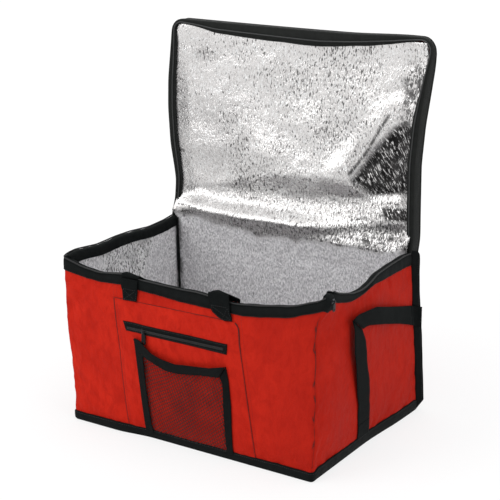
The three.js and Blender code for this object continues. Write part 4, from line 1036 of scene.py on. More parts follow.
# Width of the zip tape seen from the front, at [x, up] places along the edge
tapeKnots = [
    (-283, -27, 12), (-288, 104, 18), (-299, 192, 18.5), (-301, 282, 18), (-299, 337, 13), (-296, 362, 9),
    (-276, 379, 8), (-235, 379, 13), (-194, 379, 21), (-111, 378, 24), (-24, 378, 27), (48, 378, 29),
    (117, 378, 23), (197, 378, 16), (262, 379, 6), (282, 360, 3), (280, 316, 7), (272, 231, 14),
    (269, 117, 14), (273, -26, 13),
]
knotRuns = [edgeRun[np.argmin(np.hypot(edge[:, 0] - x, edge[:, 1] - up))] for x, up, _ in tapeKnots]
tapeWidth = softLine(edgeRun, knotRuns, [width for *_, width in tapeKnots], 14)


def lidThickness(x, up):
    # how much of the lid's depth is left: its top right corner is squeezed thin
    return 1 - 0.52 * np.exp(-((x - 286) ** 2 + (up - 384) ** 2) / 46 ** 2)


# The lid's gusset, turned forward into the zip tape: inward and back points round its section
w = tapeWidth + 0.8 * valueNoise(edgeRun / 37, 1.0, 15)
puff = 0.8 * valueNoise(edgeRun / 26, 2.0, 16)
fold = np.minimum(2.5, 0.4 * w)
section = profiles(
    len(w), (w, -0.6), (w * 0.7, -1.8 - 0.3 * puff), (w * 0.45, -2.6), (fold, -3.0), (0.4, -2.2), (-0.9, 0.2),
    (-1.6 - 0.4 * puff, 7.0), (-1.8 - puff, 14.0), (-1.4, 21.0), (-1.2, 25.0), (-2.2, 26.6), (-1.6, 28.8),
    (0.6, 29.6), (2.6, 28.4), (2.6, 25.5), (1.0, 20.0), (0.8, 8.0), (1.6, 1.2), (fold + 0.3, -0.6), (w, 0.8))
depth = section[..., 1]
depth = np.where(depth > 2, depth * lidThickness(*edge.T)[:, None], depth)
spots = edge[:, None] + inward[:, None] * section[..., :1]
rings = lidPoint(spots[..., 0], spots[..., 1], depth)
finishPiece(loftMesh("lidBand", rings), gusset, "black_trim", None, "lid_band", "lid_piping")
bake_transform(bpy.data.objects["lidBand"])

lidForward = lidPoint(0, 0, -1) - lidPoint(0, 0, 0)
behind = rings[4:-4, 9] - rings[4:-4, 15]
lidRows = [stitchData(rings[4:-4, 0] * 0.8 + rings[4:-4, 1] * 0.2 + 0.4 * lidForward, lidForward),
           stitchData(rings[4:-4, 9] + 0.1 * behind, behind)]
lidStitches = finishPiece(mergedMesh("lidStitches", lidRows, False), sewingBlack, "black_trim", None)
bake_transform(lidStitches)

keep = slice(8, len(edge) - 8)
spots = edge + inward * np.maximum(tapeWidth * 0.62, 2.0)[:, None]
centres = lidPoint(spots[:, 0], spots[:, 1], np.full(len(edge), -2.6))[keep]
across = (lidPoint(inward[:, 0], inward[:, 1], 0) - lidPoint(0, 0, 0))[keep]
lidCoil = coilRow("lidCoil", centres, np.tile(lidForward, (len(centres), 1)), across, 1.5, 2.6, coilGrey,
                  "nylon_coil", "lid_zip")
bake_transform(lidCoil)


def lidBackCloth():
    # red cloth from the back wall over the hinge, out along the gusset and up the lid's back
    cols = np.linspace(0, 1, 120)
    z = np.linspace(300, 338, 10)[:, None]
    p = np.linspace(backLeft - 4, backRight + 4, len(cols))
    wallRows = wall(p, z, 1.2, relief=smoothstep(318, 300, z))
    left, right = lidLeft(2.0) + 3, lidRight(2.0) - 3
    gussetRows = lidPoint(left + (right - left) * cols, 1.5, np.linspace(3, 24, 7)[:, None])
    up = np.linspace(4, lidClothSpec["top"], 97)[:, None]
    left, right = lidLeft(up) + 1.5, lidRight(up) - 1.5
    x = left + (right - left) * cols
    side = smoothstep(0, 30, x - left) * smoothstep(0, 30, right - x) * smoothstep(0, 30, 374 - up)
    puffed = 2.6 + 1.6 * fractal(x / 140, up / 120, 111, 2) + 0.7 * ridges(x / 70, up / 90, 113)
    puffed = puffed * side * lidThickness(x, up) ** 2
    radius = lidClothSpec["radius"]
    near = np.clip(radius - (lidClothSpec["top"] - up), 0, radius)
    drop = radius - np.sqrt(radius ** 2 - near ** 2)
    x = np.clip(x, left + drop, right - drop)
    rise = lidOutlineSpec["lift"] * smoothstep(340, 374, up) * smoothstep(90, 240, x)
    lidRows = lidPoint(x, up + rise, 26.5 * lidThickness(x, up) + puffed)
    return np.concatenate([wallRows, gussetRows, lidRows])


lidClothSpec = {"top": 377.4, "radius": 22.0, "thickness": 1.1}
lidCloth = sheetMesh("lidCloth", lidBackCloth(), lidClothSpec["thickness"], flip=True)
finishPiece(lidCloth, red, "red_cloth", None, "lid_outer", "lid_hinge_gusset", "hinge_strip")
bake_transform(lidCloth)
print("lid ready")

# Binding round the foot, higher on the right side
footSpec = {"height": 17.5, "rise": 4.5}
ps = np.linspace(0, girth, 372, endpoint=False)
h = footSpec["height"] + 0.8 * valueNoise(ps / 34, 0.0, 121)
h = h + footSpec["rise"] * smoothstep(562, 576, ps) * smoothstep(932, 915, ps)
puff = 0.6 * valueNoise(ps / 19, 0.0, 123)
section = profiles(len(ps), (-1.5, 0.2), (1.8, 0.0), (3.2 + puff, 1.8), (3.6 + puff, h * 0.5), (3.1, h - 2.0),
                   (2.0, h - 0.2), (0.6, h), (0.2, h - 2.0), (0.2, 3.0), (-1.5, 2.0))
rings = wall(ps[:, None], section[..., 1], section[..., 0], relief=0.35)
finishPiece(loftMesh("footBinding", rings, closed=True), binding, "black_trim", "bag", "bottom_binding")
face = flatOutward(ps, np.full(len(ps), 9.0))
blackSeams.append(stitchData(rings[:, 4] * 0.9 + rings[:, 3] * 0.1 + 0.3 * face, face))

# Standing seams at the back corners, cut askew at the foot, and thin seams inside them
cornerSeamSpec = {"width": 17.4, "footWidth": 2.5, "cutSlope": 0.85, "wholeUpTo": 318}
innerSeamSpec = {"inset": 12.0, "radius": 2.8}


def cornerSeam(name, p, diagonal, *replaced):
    # a bound flange standing out along the corner's diagonal, swaying a little, with stitches on both faces
    zs = np.concatenate([np.linspace(0.6, 22, 14), np.linspace(26, 326, 74)])
    root = np.concatenate([plan(p, np.minimum(zs, 320.0)), zs[:, None]], 1)
    wide = cornerSeamSpec["width"] + 0.8 * valueNoise(zs / 31, 0.0, 131)
    wide = np.minimum(wide, cornerSeamSpec["footWidth"] + cornerSeamSpec["cutSlope"] * zs)
    wide = wide - 5 * np.clip((zs - cornerSeamSpec["wholeUpTo"]) / 8, 0, None) ** 2
    near = np.minimum(4, wide - 3)
    sway = 1.2 * valueNoise(zs / 44, 2.0, 133)[:, None, None]
    out = np.array([diagonal[0], diagonal[1], 0]) / math.sqrt(2)
    side = np.array([-out[1], out[0], 0])
    section = profiles(len(zs), (-3, -1.6), (near, -1.9), (wide - 2.5, -1.9), (wide - 0.6, -1.2), (wide, 0),
                       (wide - 0.6, 1.2), (wide - 2.5, 1.9), (near, 1.9), (-3, 1.6))
    a, b = section[..., :1], section[..., 1:]
    rings = root[:, None] + out * a + side * (b + sway * smoothstep(0, 17, a))
    for k, face in ((2, -side), (6, side)):
        blackSeams.append(stitchData(rings[4:-3, k] - out * 1.5 + face * 0.2, face))
    finishPiece(loftMesh(name, rings), binding, "black_trim", "bag", *replaced)


def innerSeam(name, p, inwardWay, *replaced):
    # a round bead up the corner inside, uneven in thickness
    zs = np.linspace(13, 316, 60)[:, None]
    angles = np.linspace(0, 2 * math.pi, 9, endpoint=False)
    root = plan(p, zs[:, 0]) + np.array(inwardWay) * innerSeamSpec["inset"]
    r = innerSeamSpec["radius"] + 0.7 * valueNoise(zs / 19, 0.0, 137)
    x, y = root[:, :1] + r * np.cos(angles), root[:, 1:] + r * np.sin(angles)
    rings = np.stack(np.broadcast_arrays(x, y, zs), -1)
    finishPiece(loftMesh(name, rings), binding, "black_trim", "bag", *replaced)


cornerSeam("backRightSeam", backRight, (1, 1), "back_right_seam")
cornerSeam("backLeftSeam", backLeft, (-1, 1), "back_left_seam")
innerSeam("innerLeftSeam", backLeft, (1, -1), "inner_left_seam")
innerSeam("innerRightSeam", backRight, (-1, -1), "inner_right_seam")
print("seams ready")

# Front pocket panel
panelSpec = {
    "foot": 9.0, "top": 264.5,
    "left": ([8, 43, 106, 163, 220, 262], [-135.3, -141, -148, -152.3, -159.3, -162.5]),
    "right": ([8, 20, 61, 105, 150, 195, 225, 250, 257, 263, 266],
              [151, 148.8, 141, 132.7, 125, 117, 112, 110.5, 109, 103, 98]),
}


def panelEdge(key, z):
    # the pocket panel's left or right seam, as x
    return softLine(z, *panelSpec[key], 5)


def panelOut(x, z):
    # how far the pocket's panel stands off the wall's cloth: 0.7 mm along its seams and more within, with
    # puckers near the right handle, flatter under the zip
    left, right = panelEdge("left", z), panelEdge("right", z)
    c = (x - left) / (right - left)
    rim = smoothstep(0, 0.05, c) * smoothstep(0, 0.05, 1 - c) * smoothstep(0, 9, panelSpec["top"] - z)
    pucker = 2.2 * bump(x, 55, 34) * bump(z, 244, 18) * ridges((x + 0.5 * z) / 17, z / 80, 141)
    pucker = pucker + 1.8 * bump(x, 103, 16) * bump(z, 232, 30) * ridges((x + z) / 15, z / 40, 149)
    baggy = 0.9 * fractal(x / 80, z / 110, 143, 2) + 0.4 * ridges(x / 40, z / 70, 145)
    zipped = 1 - 0.9 * bump(z, 212, 15) * smoothstep(-160, -148, x) * smoothstep(98, 86, x)
    return 0.7 + rim * smoothstep(6, 30, z) * (1.3 + zipped * (0.6 + 0.6 * baggy + pucker))


zs = np.linspace(panelSpec["foot"], panelSpec["top"], 100)
cols = np.linspace(0, 1, 110)
cGrid, zGrid = np.meshgrid(cols, zs)
left, right = panelEdge("left", zGrid), panelEdge("right", zGrid)
xGrid = left + (right - left) * cGrid
pocketPanel = sheetMesh("pocketPanel", front(xGrid, zGrid, panelOut(xGrid, zGrid)), 0.8)
finishPiece(pocketPanel, red, "red_cloth", "bag", "pocket_panel")

# The panel's turned seams as thin cords, dark red as their painted seam shadow, and the red stitching beside
# them
zs = np.linspace(14, 263, 90)
leftLine, rightLine = panelEdge("left", zs), panelEdge("right", zs)
topLine = np.linspace(float(leftLine[-1]), 94, 70)
seamShadowRows = [
    tubeData(front(leftLine, zs, 0.6), 0.55 + 0.45 * smoothstep(150, 250, zs), squash=0.8),
    tubeData(front(rightLine, zs, 0.7), 0.6 + 0.75 * smoothstep(180, 250, zs), squash=0.8),
    tubeData(front(topLine, np.full(70, 264.3), 0.5), 0.42 + 0.25 * np.abs(valueNoise(topLine / 25, 0, 155)),
             squash=0.8),
]
# The front right corner's crease: a thin cord, dark red as its painted shade
zs = np.linspace(24, 304, 90)
thin = 0.2 + 0.45 * smoothstep(-0.5, 0.6, fractal(zs / 17, 0 * zs, 177, 2))
seamShadowRows.append(tubeData(wall(frontRight - 1.0, zs, 0.35), thin, squash=0.8))
# Short dark dashes beside the crease, painted shade in its pinches: how high, how long and which way each
# slants
for z, span, way in ((281, 12, -3), (250, 16, 3), (241, 10, -4), (182, 12, 4), (155, 14, -3), (116, 12, -5),
                     (71, 16, 3)):
    dash = np.linspace(-0.5, 0.5, 7)
    spots = wall(frontRight - 3.0 + way * dash, z + span * dash, 0.5)
    seamShadowRows.append(tubeData(spots, 0.75 * np.cos(2.6 * dash)))
finishPiece(mergedMesh("panelSeamShadows", seamShadowRows), seamShadow, "red_cloth", "bag")
redRows = []
for line, shift in ((leftLine, 4.5), (rightLine, -4.5), (leftLine, -3.5), (rightLine, 3.5)):
    xs = line + shift
    out = panelOut(xs, zs) if shift * (1 if line is leftLine else -1) > 0 else 0 * zs
    face = flatOutward(frontPlace(xs, zs), zs)
    redRows.append(stitchData(front(xs, zs, out + 0.25), face, width=0.4, height=0.3))
finishPiece(mergedMesh("redStitches", redRows, False), sewingRed, "red_cloth", "bag")

# Pocket zip: its tape with a slanted left end, the coil along it
zipSpec = {"lowLeft": (-135, 205.0), "highLeft": (-141.7, 223.3), "lowRight": (86.7, 201.2),
           "highRight": (87.6, 220.8), "coilUp": 211.2, "coilRadius": 1.25, "coilPitch": 1.9}
t = np.linspace(0, 1, 90)[:, None]
low = np.array(zipSpec["lowLeft"]) * (1 - t) + np.array(zipSpec["lowRight"]) * t
high = np.array(zipSpec["highLeft"]) * (1 - t) + np.array(zipSpec["highRight"]) * t
ripple = 0.5 * valueNoise(t[:, 0] * 9, 0.0, 157)
low[:, 1] += ripple
high[:, 1] += ripple
outMid = panelOut((low[:, 0] + high[:, 0]) / 2, (low[:, 1] + high[:, 1]) / 2)
zipFace = flatOutward(frontPlace(low[:, 0], low[:, 1]), low[:, 1])
a = front(low[:, 0], low[:, 1], outMid + 0.3)
b = front(high[:, 0], high[:, 1], outMid + 0.3)
finishPiece(ribbon("pocketZipTape", a, b, zipFace, 1.0), binding, "black_trim", "bag", "pocket_zip_tape")
for inset in (0.12, 0.88):
    blackSeams.append(stitchData(a * (1 - inset) + b * inset + 1.35 * zipFace, zipFace))
xs = np.linspace(-132, 80, 80)
for k, dz in (("Low", -1.3), ("High", 1.3)):
    zs = zipSpec["coilUp"] - 0.003 * (xs + 90) + dz
    centres, face = front(xs, zs, panelOut(xs, zs) + 2.0), flatOutward(frontPlace(xs, zs), zs)
    coil = coilRow("pocketCoil" + k, centres, face, np.tile([0, 0, 1.0], (80, 1)), zipSpec["coilRadius"],
                   zipSpec["coilPitch"], coilBlack, "nylon_coil",
                   *(("pocket_zip_chain",) if k == "Low" else ()))
    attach(coil, "bag")
print("pocket ready")

# Net pocket: its size and the threads' pitch in mm, and its three bound edges as [x, z] lines, the foot on
# the panel and the mouth standing off it
netSpec = {
    "width": 176.0, "height": 152.0, "pitch": 5.6,
    "leftOuter": [(-117.3, 191), (-109.5, 131), (-102.7, 77.4), (-94.8, 14.6), (-93.8, 8)],
    "leftInner": [(-94, 164.6), (-90.6, 126), (-84.9, 75.3), (-77.8, 24), (-75, 8)],
    "topOuter": [(-116.5, 192.5), (-113, 195), (-103, 192.7), (-92, 186.3), (-72.7, 175.2), (-51.3, 168.6),
                 (-18.7, 164.2), (-5.4, 166.4), (23.2, 169), (54.9, 172.7), (78.4, 178.8), (87.2, 180)],
    "topInner": [(-94, 164.6), (-70.9, 157.9), (-40, 147.8), (-13.2, 147.3), (13.6, 151), (41.8, 155.3),
                 (76.7, 159)],
    "rightOuter": [(86.2, 179.4), (92.3, 153.6), (98, 106.7), (100.9, 49), (102.7, 21), (104, 8)],
    "rightInner": [(77.2, 160), (82.9, 146.7), (84.3, 96.5), (86.7, 54.4), (89.9, 18), (91, 8)],
}


def netOut(x, z):
    # how far the net stands off the wall: further towards its slack mouth, less at its sewn sides
    sides = smoothstep(-112, -70, x) * smoothstep(97, 72, x)
    return panelOut(x, z) + 1.0 + 7.5 * smoothstep(5, 165, z) * (0.25 + 0.75 * sides) + 0.6 * np.sin(z / 36)


def boundEdge(outer, inner, count, sewn, lift=0.0):
    # one strip of binding between its outer and inner line, sewn down along the outer one if it is a side
    outer, inner = resample(netSpec[outer], count=count), resample(netSpec[inner], count=count)
    outerOut = panelOut(*outer.T) + 0.8 if sewn else netOut(*outer.T) + 0.4
    a, b = front(*outer.T, outerOut + lift), front(*inner.T, netOut(*inner.T) + 0.4 + lift)
    return ribbonData(a, b, [0.0, -1.0, 0.0], 1.8)


netStrips = [boundEdge("leftOuter", "leftInner", 40, True), boundEdge("rightOuter", "rightInner", 40, True),
             boundEdge("topOuter", "topInner", 56, False, 0.9)]
finishPiece(mergedMesh("netBinding", netStrips), binding, "black_trim", "bag", "mesh_pocket_binding")


def netEdge(key, z):
    # the inner edge of the net's binding, as x
    line = np.array(netSpec[key])[::-1]
    return np.interp(z, line[:, 1], line[:, 0])


def netThreads():
    # two families of slanting threads between the binding's inner edges, each a four-sided tube
    parts = []
    width, height, pitch = netSpec["width"], netSpec["height"], netSpec["pitch"]
    topLine = np.array(netSpec["topInner"])
    for way, slope in ((1, 1.35), (-1, 0.3)):
        for start in np.arange(-height * slope, width + height * slope, pitch * math.hypot(1, slope)):
            t = np.linspace(0, 1, 48)
            u = start + way * (t - 0.5) * height * slope
            ok = (u > -1) & (u < width + 1)
            if ok.sum() < 3:
                continue
            t, u = t[ok], u[ok]
            s = np.clip(u / width, 0, 1)
            zTop = np.interp(-92 + 170 * s, topLine[:, 0], topLine[:, 1]) + 4
            z = 12 + (zTop - 12) * t
            left = netEdge("leftInner", np.minimum(z, 158)) - 3
            right = netEdge("rightInner", np.minimum(z, 156)) + 3
            x = left + (right - left) * s
            cross = 0.3 * way * np.cos(u * 2 * math.pi / pitch)
            thick = (0.60 + 0.12 * smoothstep(-0.35, 0.45, fractal(x / 46, z / 60, 175, 2)))[:, None]
            centre = front(x, z, netOut(x, z) + cross)
            along = np.gradient(centre, axis=0)
            along /= np.linalg.norm(along, axis=1, keepdims=True)
            face = np.tile([0.0, -1.0, 0.0], (len(t), 1))
            side = np.cross(along, face)
            ring = np.stack([centre + side * thick, centre + face * thick * 0.6, centre - side * thick,
                             centre - face * thick * 0.6], 1)
            parts.append(loftData(ring))
    return parts


net = mergedMesh("pocketNet", netThreads())
finishPiece(net, netThread, "net", "bag", "mesh_pocket_net")
# It was worked out from the sheet check's own measure
print("net", len(net.data.vertices))


# Front tabs: [x, z] places along their two edges, how high they reach and how far the foot is askew
tabSpec = {
    "Left": {"left": [(-139.7, 264.5), (-142.5, 295), (-143, 308)],
             "right": [(-109.6, 265), (-105.5, 292), (-104.5, 308)], "top": 307.6, "tilt": 1.0},
    "Right": {"left": [(81.8, 264.3), (67.6, 268.7), (58.5, 276), (51.5, 289), (49, 303)],
              "right": [(98, 264.3), (95.1, 283), (92.9, 303.7)], "top": 313.5, "tilt": 2.0},
}


def tabLines(zs, edgeKnots):
    # one edge of a tab, as x at each height
    return np.interp(zs, [z for _, z in edgeKnots], [x for x, _ in edgeKnots])


def rimFoot(x):
    # the height of the rim band's lower edge above a point of the front wall
    p = float(frontPlace(float(x), 300.0))
    return float(rimTop(p)) - float(rimDrop(p))


def frontTab(name, leftKnots, rightKnots, top, tilt, *replaced):
    # webbing sewn to the front wall, stepping out over the rim band. Its foot is cut askew by the tilt
    t = np.linspace(0, 1, 26)
    zs = leftKnots[0][1] + (top - leftKnots[0][1]) * t
    zr = zs + tilt * (1 - t)
    left, right = tabLines(zs, leftKnots), tabLines(zs, rightKnots)
    foot = rimFoot((left[0] + right[0]) / 2)
    out = 2.6 + 2.4 * smoothstep(foot - 9, foot + 1, zs)
    a, b = front(left, zs, out, 0.8), front(right, zr, out, 0.8)
    face = np.array([0.0, -1.0, 0.0])
    for share in (0.07, 0.93):
        blackSeams.append(stitchData((a * (1 - share) + b * share)[:14] + 1.75 * face, face))
    for k in (1, 13):
        across = np.linspace(0.08, 0.92, 8)[:, None]
        blackSeams.append(stitchData(a[k] * (1 - across) + b[k] * across + 1.75 * face, face))
    for one, other in ((0.08, 0.92), (0.92, 0.08)):
        across = np.linspace(0, 1, 12)[:, None]
        low, high = a[1] * (1 - one) + b[1] * one, a[13] * (1 - other) + b[13] * other
        blackSeams.append(stitchData(low * (1 - across) + high * across + 2.1 * face, face))
    return finishPiece(ribbon(name, a, b, face), webbing, "black_trim", "bag", *replaced)


for side, spec in tabSpec.items():
    frontTab("frontTab" + side, spec["left"], spec["right"], spec["top"], spec["tilt"],
             "front_tab_" + side.lower())

# Handles: where the two legs are, their way over the rim as [y, z] and how much of it each one rises, the
# loop's drop and corner radius, and past the crest how far the left and right edges move and how far down
frontHook = [(0.4, 0.3), (0.4, 6), (1.5, 10), (5, 12.6), (9, 12.8), (13, 11), (16.5, 6), (18, 0), (18.6, -8)]
backHook = [(2.0, -0.3), (2.0, -8.0), (2.2, -20.0), (3.4, -38.0)]
handleSpec = {
    "frontHandle": {"body": "front_handle", "legs": (-124.5, 71.0), "hook": resample(frontHook, count=22),
                    "crests": (0.75, 0.3), "drop": 240.0, "corner": 70.0, "skew": (7.0, 13.0, -10.0)},
    "backHandle": {"body": "back_handle", "legs": (-130.5, 73.0), "hook": backHook,
                   "crests": (1, 1), "drop": 220.0, "corner": 70.0, "skew": (0.0, 0.0, 0.0)},
}


def handleLoop(name, place, *replaced):
    # a loop of webbing: two hooked legs joined by a rounded carrying stretch, all of one width. Past its
    # crest each leg is turned: both edges to the right, the right one down
    spec = handleSpec[name]
    half = webbingWidth / 2
    xa, xb = spec["legs"]
    crests, corner, skew = spec["crests"], spec["corner"], spec["skew"]
    outer, inner = [], []
    hook = np.array(spec["hook"], float)
    inLast, low = hook[-1, 0], corner - spec["drop"]
    straight = np.linspace(hook[-1, 1] - 6, low, 26)
    route = np.concatenate([hook, np.stack([np.full(26, hook[-1, 0]), straight], -1)])

    def legEdge(x, crest, right):
        past = smoothstep(0, 12, route[:, 0]) * smoothstep(-120, -10, route[:, 1])
        high = np.where(route[:, 1] > 0, route[:, 1] * crest, route[:, 1])
        return np.stack([x + skew[right] * past, route[:, 0], high + right * skew[2] * past], -1)

    outer.extend(legEdge(xa - half, crests[0], 0))
    inner.extend(legEdge(xa + half, crests[0], 1))
    for centreX, start in ((xa + corner, math.pi), (xb - corner, 1.5 * math.pi)):
        turn = np.linspace(start, start + math.pi / 2, 17)[1:-1]
        for line, r in ((outer, corner + half), (inner, corner - half)):
            x, z = centreX + r * np.cos(turn), low + r * np.sin(turn)
            line.extend(np.stack([x, np.full(len(turn), inLast), z], -1))
    outer.extend(legEdge(xb + half, crests[1], 1)[::-1])
    inner.extend(legEdge(xb - half, crests[1], 0)[::-1])
    outer, inner = np.array(outer), np.array(inner)
    mid = (outer + inner) / 2
    along = np.gradient(mid, axis=0)
    face = np.cross(along, inner - outer)
    face /= np.linalg.norm(face, axis=1, keepdims=True)
    a, b = place(outer), place(inner)
    loop = ribbon(name, a, b, place(outer + face) - a)
    return finishPiece(loop, webbing, "black_trim", spec["body"], *replaced)


def frontHandlePlace(q):
    # pivot-line coordinates to the bag: the line leans with the settled front wall
    x = q[..., 0]
    y = -185.17 + 0.0187 * (x + 127.1) + q[..., 1]
    z = 307.86 + 0.0187 * (x + 127.1) + q[..., 2]
    sway = 1.4 * np.sin(x / 40) * smoothstep(-20, -120, q[..., 2]) + 9.5 * smoothstep(-20, -200, q[..., 2])
    return np.stack([x + 0.5, y + sway, z], -1)


handleLoop("frontHandle", frontHandlePlace, "front_handle")


def backHandlePlace(q):
    # pivot-line coordinates to the bag: the line leans with the back wall
    lean = -5.5 * (256.7 + q[..., 2]) / 325 + 4.3
    y = 183.9 + q[..., 1] + lean + 1.4 * smoothstep(0, -200, q[..., 2])
    return np.stack([q[..., 0] - 1.2, y, 256.73 + q[..., 2]], -1)


handleLoop("backHandle", backHandlePlace, "back_handle")
for side, centre in (("Left", -131.0), ("Right", 70.5)):
    zs = np.linspace(218, 256.2, 12)
    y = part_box("back_tab_left")[1][1] / mm
    a = np.stack([np.full(12, centre - webbingWidth / 2), np.full(12, y - 0.6) - 0.017 * (zs - 222), zs], -1)
    b = a + [webbingWidth, 0, 0]
    face = np.array([0.0, 1.0, 0.0])
    for share in (0.07, 0.93):
        blackSeams.append(stitchData(a * (1 - share) + b * share + 1.75 * face, face))
    finishPiece(ribbon("backTab" + side, a, b, face), webbing, "black_trim", "bag",
                "back_tab_" + side.lower())
print("handles ready")

# Side straps, as [y, z] edge lines: the upright, and the top stretch folded over it at the corner
strapSpec = {
    "outer": [(-39.4, 52), (-43.4, 95), (-62.2, 153), (-82, 215), (-86, 259), (-95, 277.5)],
    "inner": [(4.5, 52), (3, 80), (-8.1, 133), (-28.3, 181), (-40, 224), (-56, 249)],
    "topOuter": [(-95, 277.5), (-79, 281), (-40, 277.5), (0.4, 273), (59.4, 254), (117, 236), (168, 220.5)],
    "topInner": [(-56, 249), (-33.3, 248.5), (30.7, 230), (112, 203), (159.3, 185), (165, 182)],
    "foot": 17.3,
}


def strapLift(y, z):
    # how far a strap stands off the wall: most where its two stretches meet
    return 0.5 + 10 * np.minimum(smoothstep(60, 230, z), smoothstep(166, -4, y))


def strapRibbon(name, side, outer, inner, extra, body, *replaced):
    # webbing between two [y, z] lines laid on a side wall, faintly rippled, stitched where it is sewn down
    outer, inner = (resample(line, count=40) for line in (outer, inner))
    ripple = 0.5 * valueNoise(outer[:, 1] / 16 + outer[:, 0] / 23, side, 159)
    a = sideWall(outer[:, 0], outer[:, 1], side, strapLift(*outer.T) + extra + ripple)
    b = sideWall(inner[:, 0], inner[:, 1], side, strapLift(*inner.T) + extra - ripple)
    face = np.array([float(side), 0.0, 0.0])
    if body == "bag":
        blackSeams.append(stitchData((a * 0.92 + b * 0.08) + 1.8 * face, face))
        blackSeams.append(stitchData((a * 0.08 + b * 0.92) + 1.8 * face, face))
    return finishPiece(ribbon(name, a, b, face), webbing, "black_trim", body, *replaced)


def strapBackEnd(label, side):
    # the strap's far end, sewn over the corner's standing seam and out to its edge
    ys = np.array([165.4, 170.0, 175.0])
    corner = plan(backRight if side > 0 else backLeft, 200.0)
    reach = np.array([5.0, 10.0, 15.0, 18.4])[:, None]
    spots = corner + (np.array([side, 1]) * reach + np.array([side, -1]) * 2.6) / math.sqrt(2)
    edges = []
    for z, slope in ((221.0, 0.28), (182.0, 0.36)):
        onCorner = np.column_stack([spots, z - slope * (spots[:, 1] - 165)])
        edges.append(np.concatenate([sideWall(ys, z - slope * (ys - 165), side, 2.4), onCorner]))
    face = np.array([[side, 0, 0]] * 3 + [[side, -1.0, 0]] * 4, float)
    piece = ribbon(label + "StrapBackEnd", *edges, face, 1.4)
    finishPiece(piece, webbing, "black_trim", "bag", label + "_strap_back_end")


for label, side in (("right", 1), ("left", -1)):
    body = label + "_side_strap"
    outer, inner, foot = strapSpec["outer"], strapSpec["inner"], strapSpec["foot"]
    strapRibbon(label + "StrapUpright", side, outer, inner, 0.0, body, body)
    strapRibbon(label + "StrapTop", side, strapSpec["topOuter"], strapSpec["topInner"], 1.8, body)
    strapRibbon(label + "StrapFoot", side, [(-40.5, foot), (-39.6, 51.6)], [(5.5, foot), (4.8, 51.6)], 0.3,
                "bag", label + "_strap_foot")
    strapBackEnd(label, side)
finishPiece(mergedMesh("blackStitches", blackSeams, False), sewingBlack, "black_trim", "bag")
print("straps ready")

# Kept CAD pieces get their finishes
for name, material in (("pocket_slider", zinc), ("pocket_pull", zincPull), ("main_slider", zinc),
                       ("main_pull", zincPull)):
    slots = nodes[name].data.materials
    slots.clear()
    slots.append(material)

# Floor: white to the eye and in reflections, with the bag's shadow kept near it
floorSpec = {"half": 9000, "drop": -0.6, "shadowWithin": 0.45, "whiteBeyond": 1.1, "nearShare": 0.72,
             "seen": 1.04, "reflected": 0.84}
floorMaterial, tree, shader = newMaterial("pale studio floor", Roughness=0.9, Specular_IOR_Level=0.2)
place = addNode(tree, "TexCoord", out="Object")
noise = addNode(tree, "TexNoise", {"Vector": place, "Scale": 2.0}, "Fac")
tree.links.new(layered(tree, "F8F8F8", (noise, 0.0, 1.0, 1.0, "FCFCFC")), shader.inputs["Base Color"])
away = addNode(tree, "VectorMath", [place], "Value", operation="LENGTH")
rays = addNode(tree, "LightPath", out=None)
glow = addNode(tree, "MapRange", (rays["Is Glossy Ray"], 0.0, 1.0, floorSpec["seen"], floorSpec["reflected"]))
white = addNode(tree, "Emission", {"Color": (1, 1, 1, 1), "Strength": glow})
near = addNode(tree, "MapRange", (away, floorSpec["shadowWithin"], floorSpec["whiteBeyond"],
                                  floorSpec["nearShare"], 1.0))
seen = addNode(tree, "Math", (rays["Is Camera Ray"], near), operation="MULTIPLY")
seen = addNode(tree, "Math", (seen, rays["Is Glossy Ray"]), operation="MAXIMUM")
blended = addNode(tree, "MixShader", (seen, shader.outputs[0], white))
tree.links.new(blended, tree.nodes["Material Output"].inputs["Surface"])
s, z = floorSpec["half"], floorSpec["drop"]
floor = makeMesh("studioFloor", [[-s, -s, z], [s, -s, z], [s, s, z], [-s, s, z]], [[0, 1, 2, 3]])
floor.data.materials.append(floorMaterial)

# Soft boxes: where each stands and aims, in metres, its size and its power in watts
lampSpec = {
    "keyLight": ((-2.0, -2.4, 2.4), (0, 0, 0.3), 2.4, 44),
    "sideLight": ((3.0, -0.6, 1.6), (0, 0, 0.3), 1.6, 11),
    "topLight": ((0.2, 0.4, 3.2), (0, 0, 0.2), 1.8, 21),
}
for name, (place, aim, size, power) in lampSpec.items():
    data = bpy.data.lights.new(name, "AREA")
    data.energy = power
    data.size = size
    lamp = bpy.data.objects.new(name, data)
    lamp.location = place
    lamp.rotation_mode = "QUATERNION"
    lamp.rotation_quaternion = (Vector(aim) - Vector(place)).to_track_quat("-Z", "Y")
    bpy.context.scene.collection.objects.link(lamp)

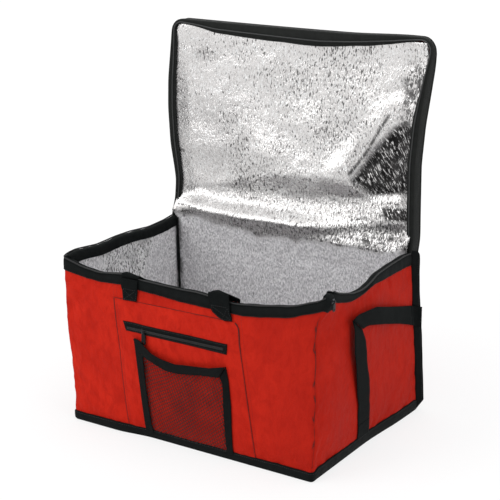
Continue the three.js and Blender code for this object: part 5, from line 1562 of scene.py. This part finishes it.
# World: even light all round; reflections see white with the dark side of the room behind the camera
worldSpec = {"ambient": (0.68, 0.69, 0.7, 1), "dark": (0.03, 0.03, 0.033, 1), "darkWay": (0.51, -0.80, 0.30),
             "darkFrom": 46, "darkWithin": 32, "patches": (0.80, 1.04)}
world = bpy.data.worlds.new("studioWorld")
world.use_nodes = True
bpy.context.scene.world = world
tree = world.node_tree
rays = addNode(tree, "LightPath", out=None)
place = addNode(tree, "TexCoord", out="Generated")
behind = addNode(tree, "VectorMath", {0: place, 1: worldSpec["darkWay"]}, "Value", operation="DOT_PRODUCT")
start, full = (math.cos(math.radians(worldSpec[key])) for key in ("darkFrom", "darkWithin"))
noise = addNode(tree, "TexNoise", {"Vector": place, "Scale": 1.6, "Detail": 1.0}, "Fac")
patches = addNode(tree, "MapRange", (noise, 0.40, 0.56, *worldSpec["patches"]))
glossy = layered(tree, patches, (behind, start, full, 1.0, worldSpec["dark"]))
colour = layered(tree, worldSpec["ambient"], (rays["Is Glossy Ray"], 0.0, 1.0, 1.0, glossy),
                 (rays["Is Camera Ray"], 0.0, 1.0, 1.0, (1, 1, 1, 1)))
tree.links.new(colour, tree.nodes["Background"].inputs["Color"])
tree.nodes["Background"].inputs["Strength"].default_value = 1.0
bpy.context.scene.view_settings.view_transform = "Standard"

# Camera, as solved from the photograph: its place in metres, angles in degrees, focal length in pixels
cameraSpec = {"place": (1.3865, -2.1517, 1.1383), "yaw": -32.398, "pitch": -17.465, "roll": -0.472,
              "focal": 1419.3, "pixels": 500, "sensor": 36}
cameraData = bpy.data.cameras.new("camera")
cameraData.sensor_width = cameraSpec["sensor"]
cameraData.lens = cameraSpec["focal"] * cameraSpec["sensor"] / cameraSpec["pixels"]
cameraData.clip_end = 60
camera = bpy.data.objects.new("camera", cameraData)
bpy.context.scene.collection.objects.link(camera)
yaw, pitch, roll = (math.radians(cameraSpec[key]) for key in ("yaw", "pitch", "roll"))
ahead = Vector((math.sin(yaw) * math.cos(pitch), math.cos(yaw) * math.cos(pitch), math.sin(pitch)))
level = Vector((math.cos(yaw), -math.sin(yaw), 0))
above = level.cross(ahead)
rightWay = level * math.cos(roll) + above * math.sin(roll)
upWay = above * math.cos(roll) - level * math.sin(roll)
axes = Matrix((rightWay, upWay, -ahead)).transposed()
camera.matrix_world = Matrix.Translation(cameraSpec["place"]) @ axes.to_4x4()
bpy.context.scene.camera = camera
print("studio ready")
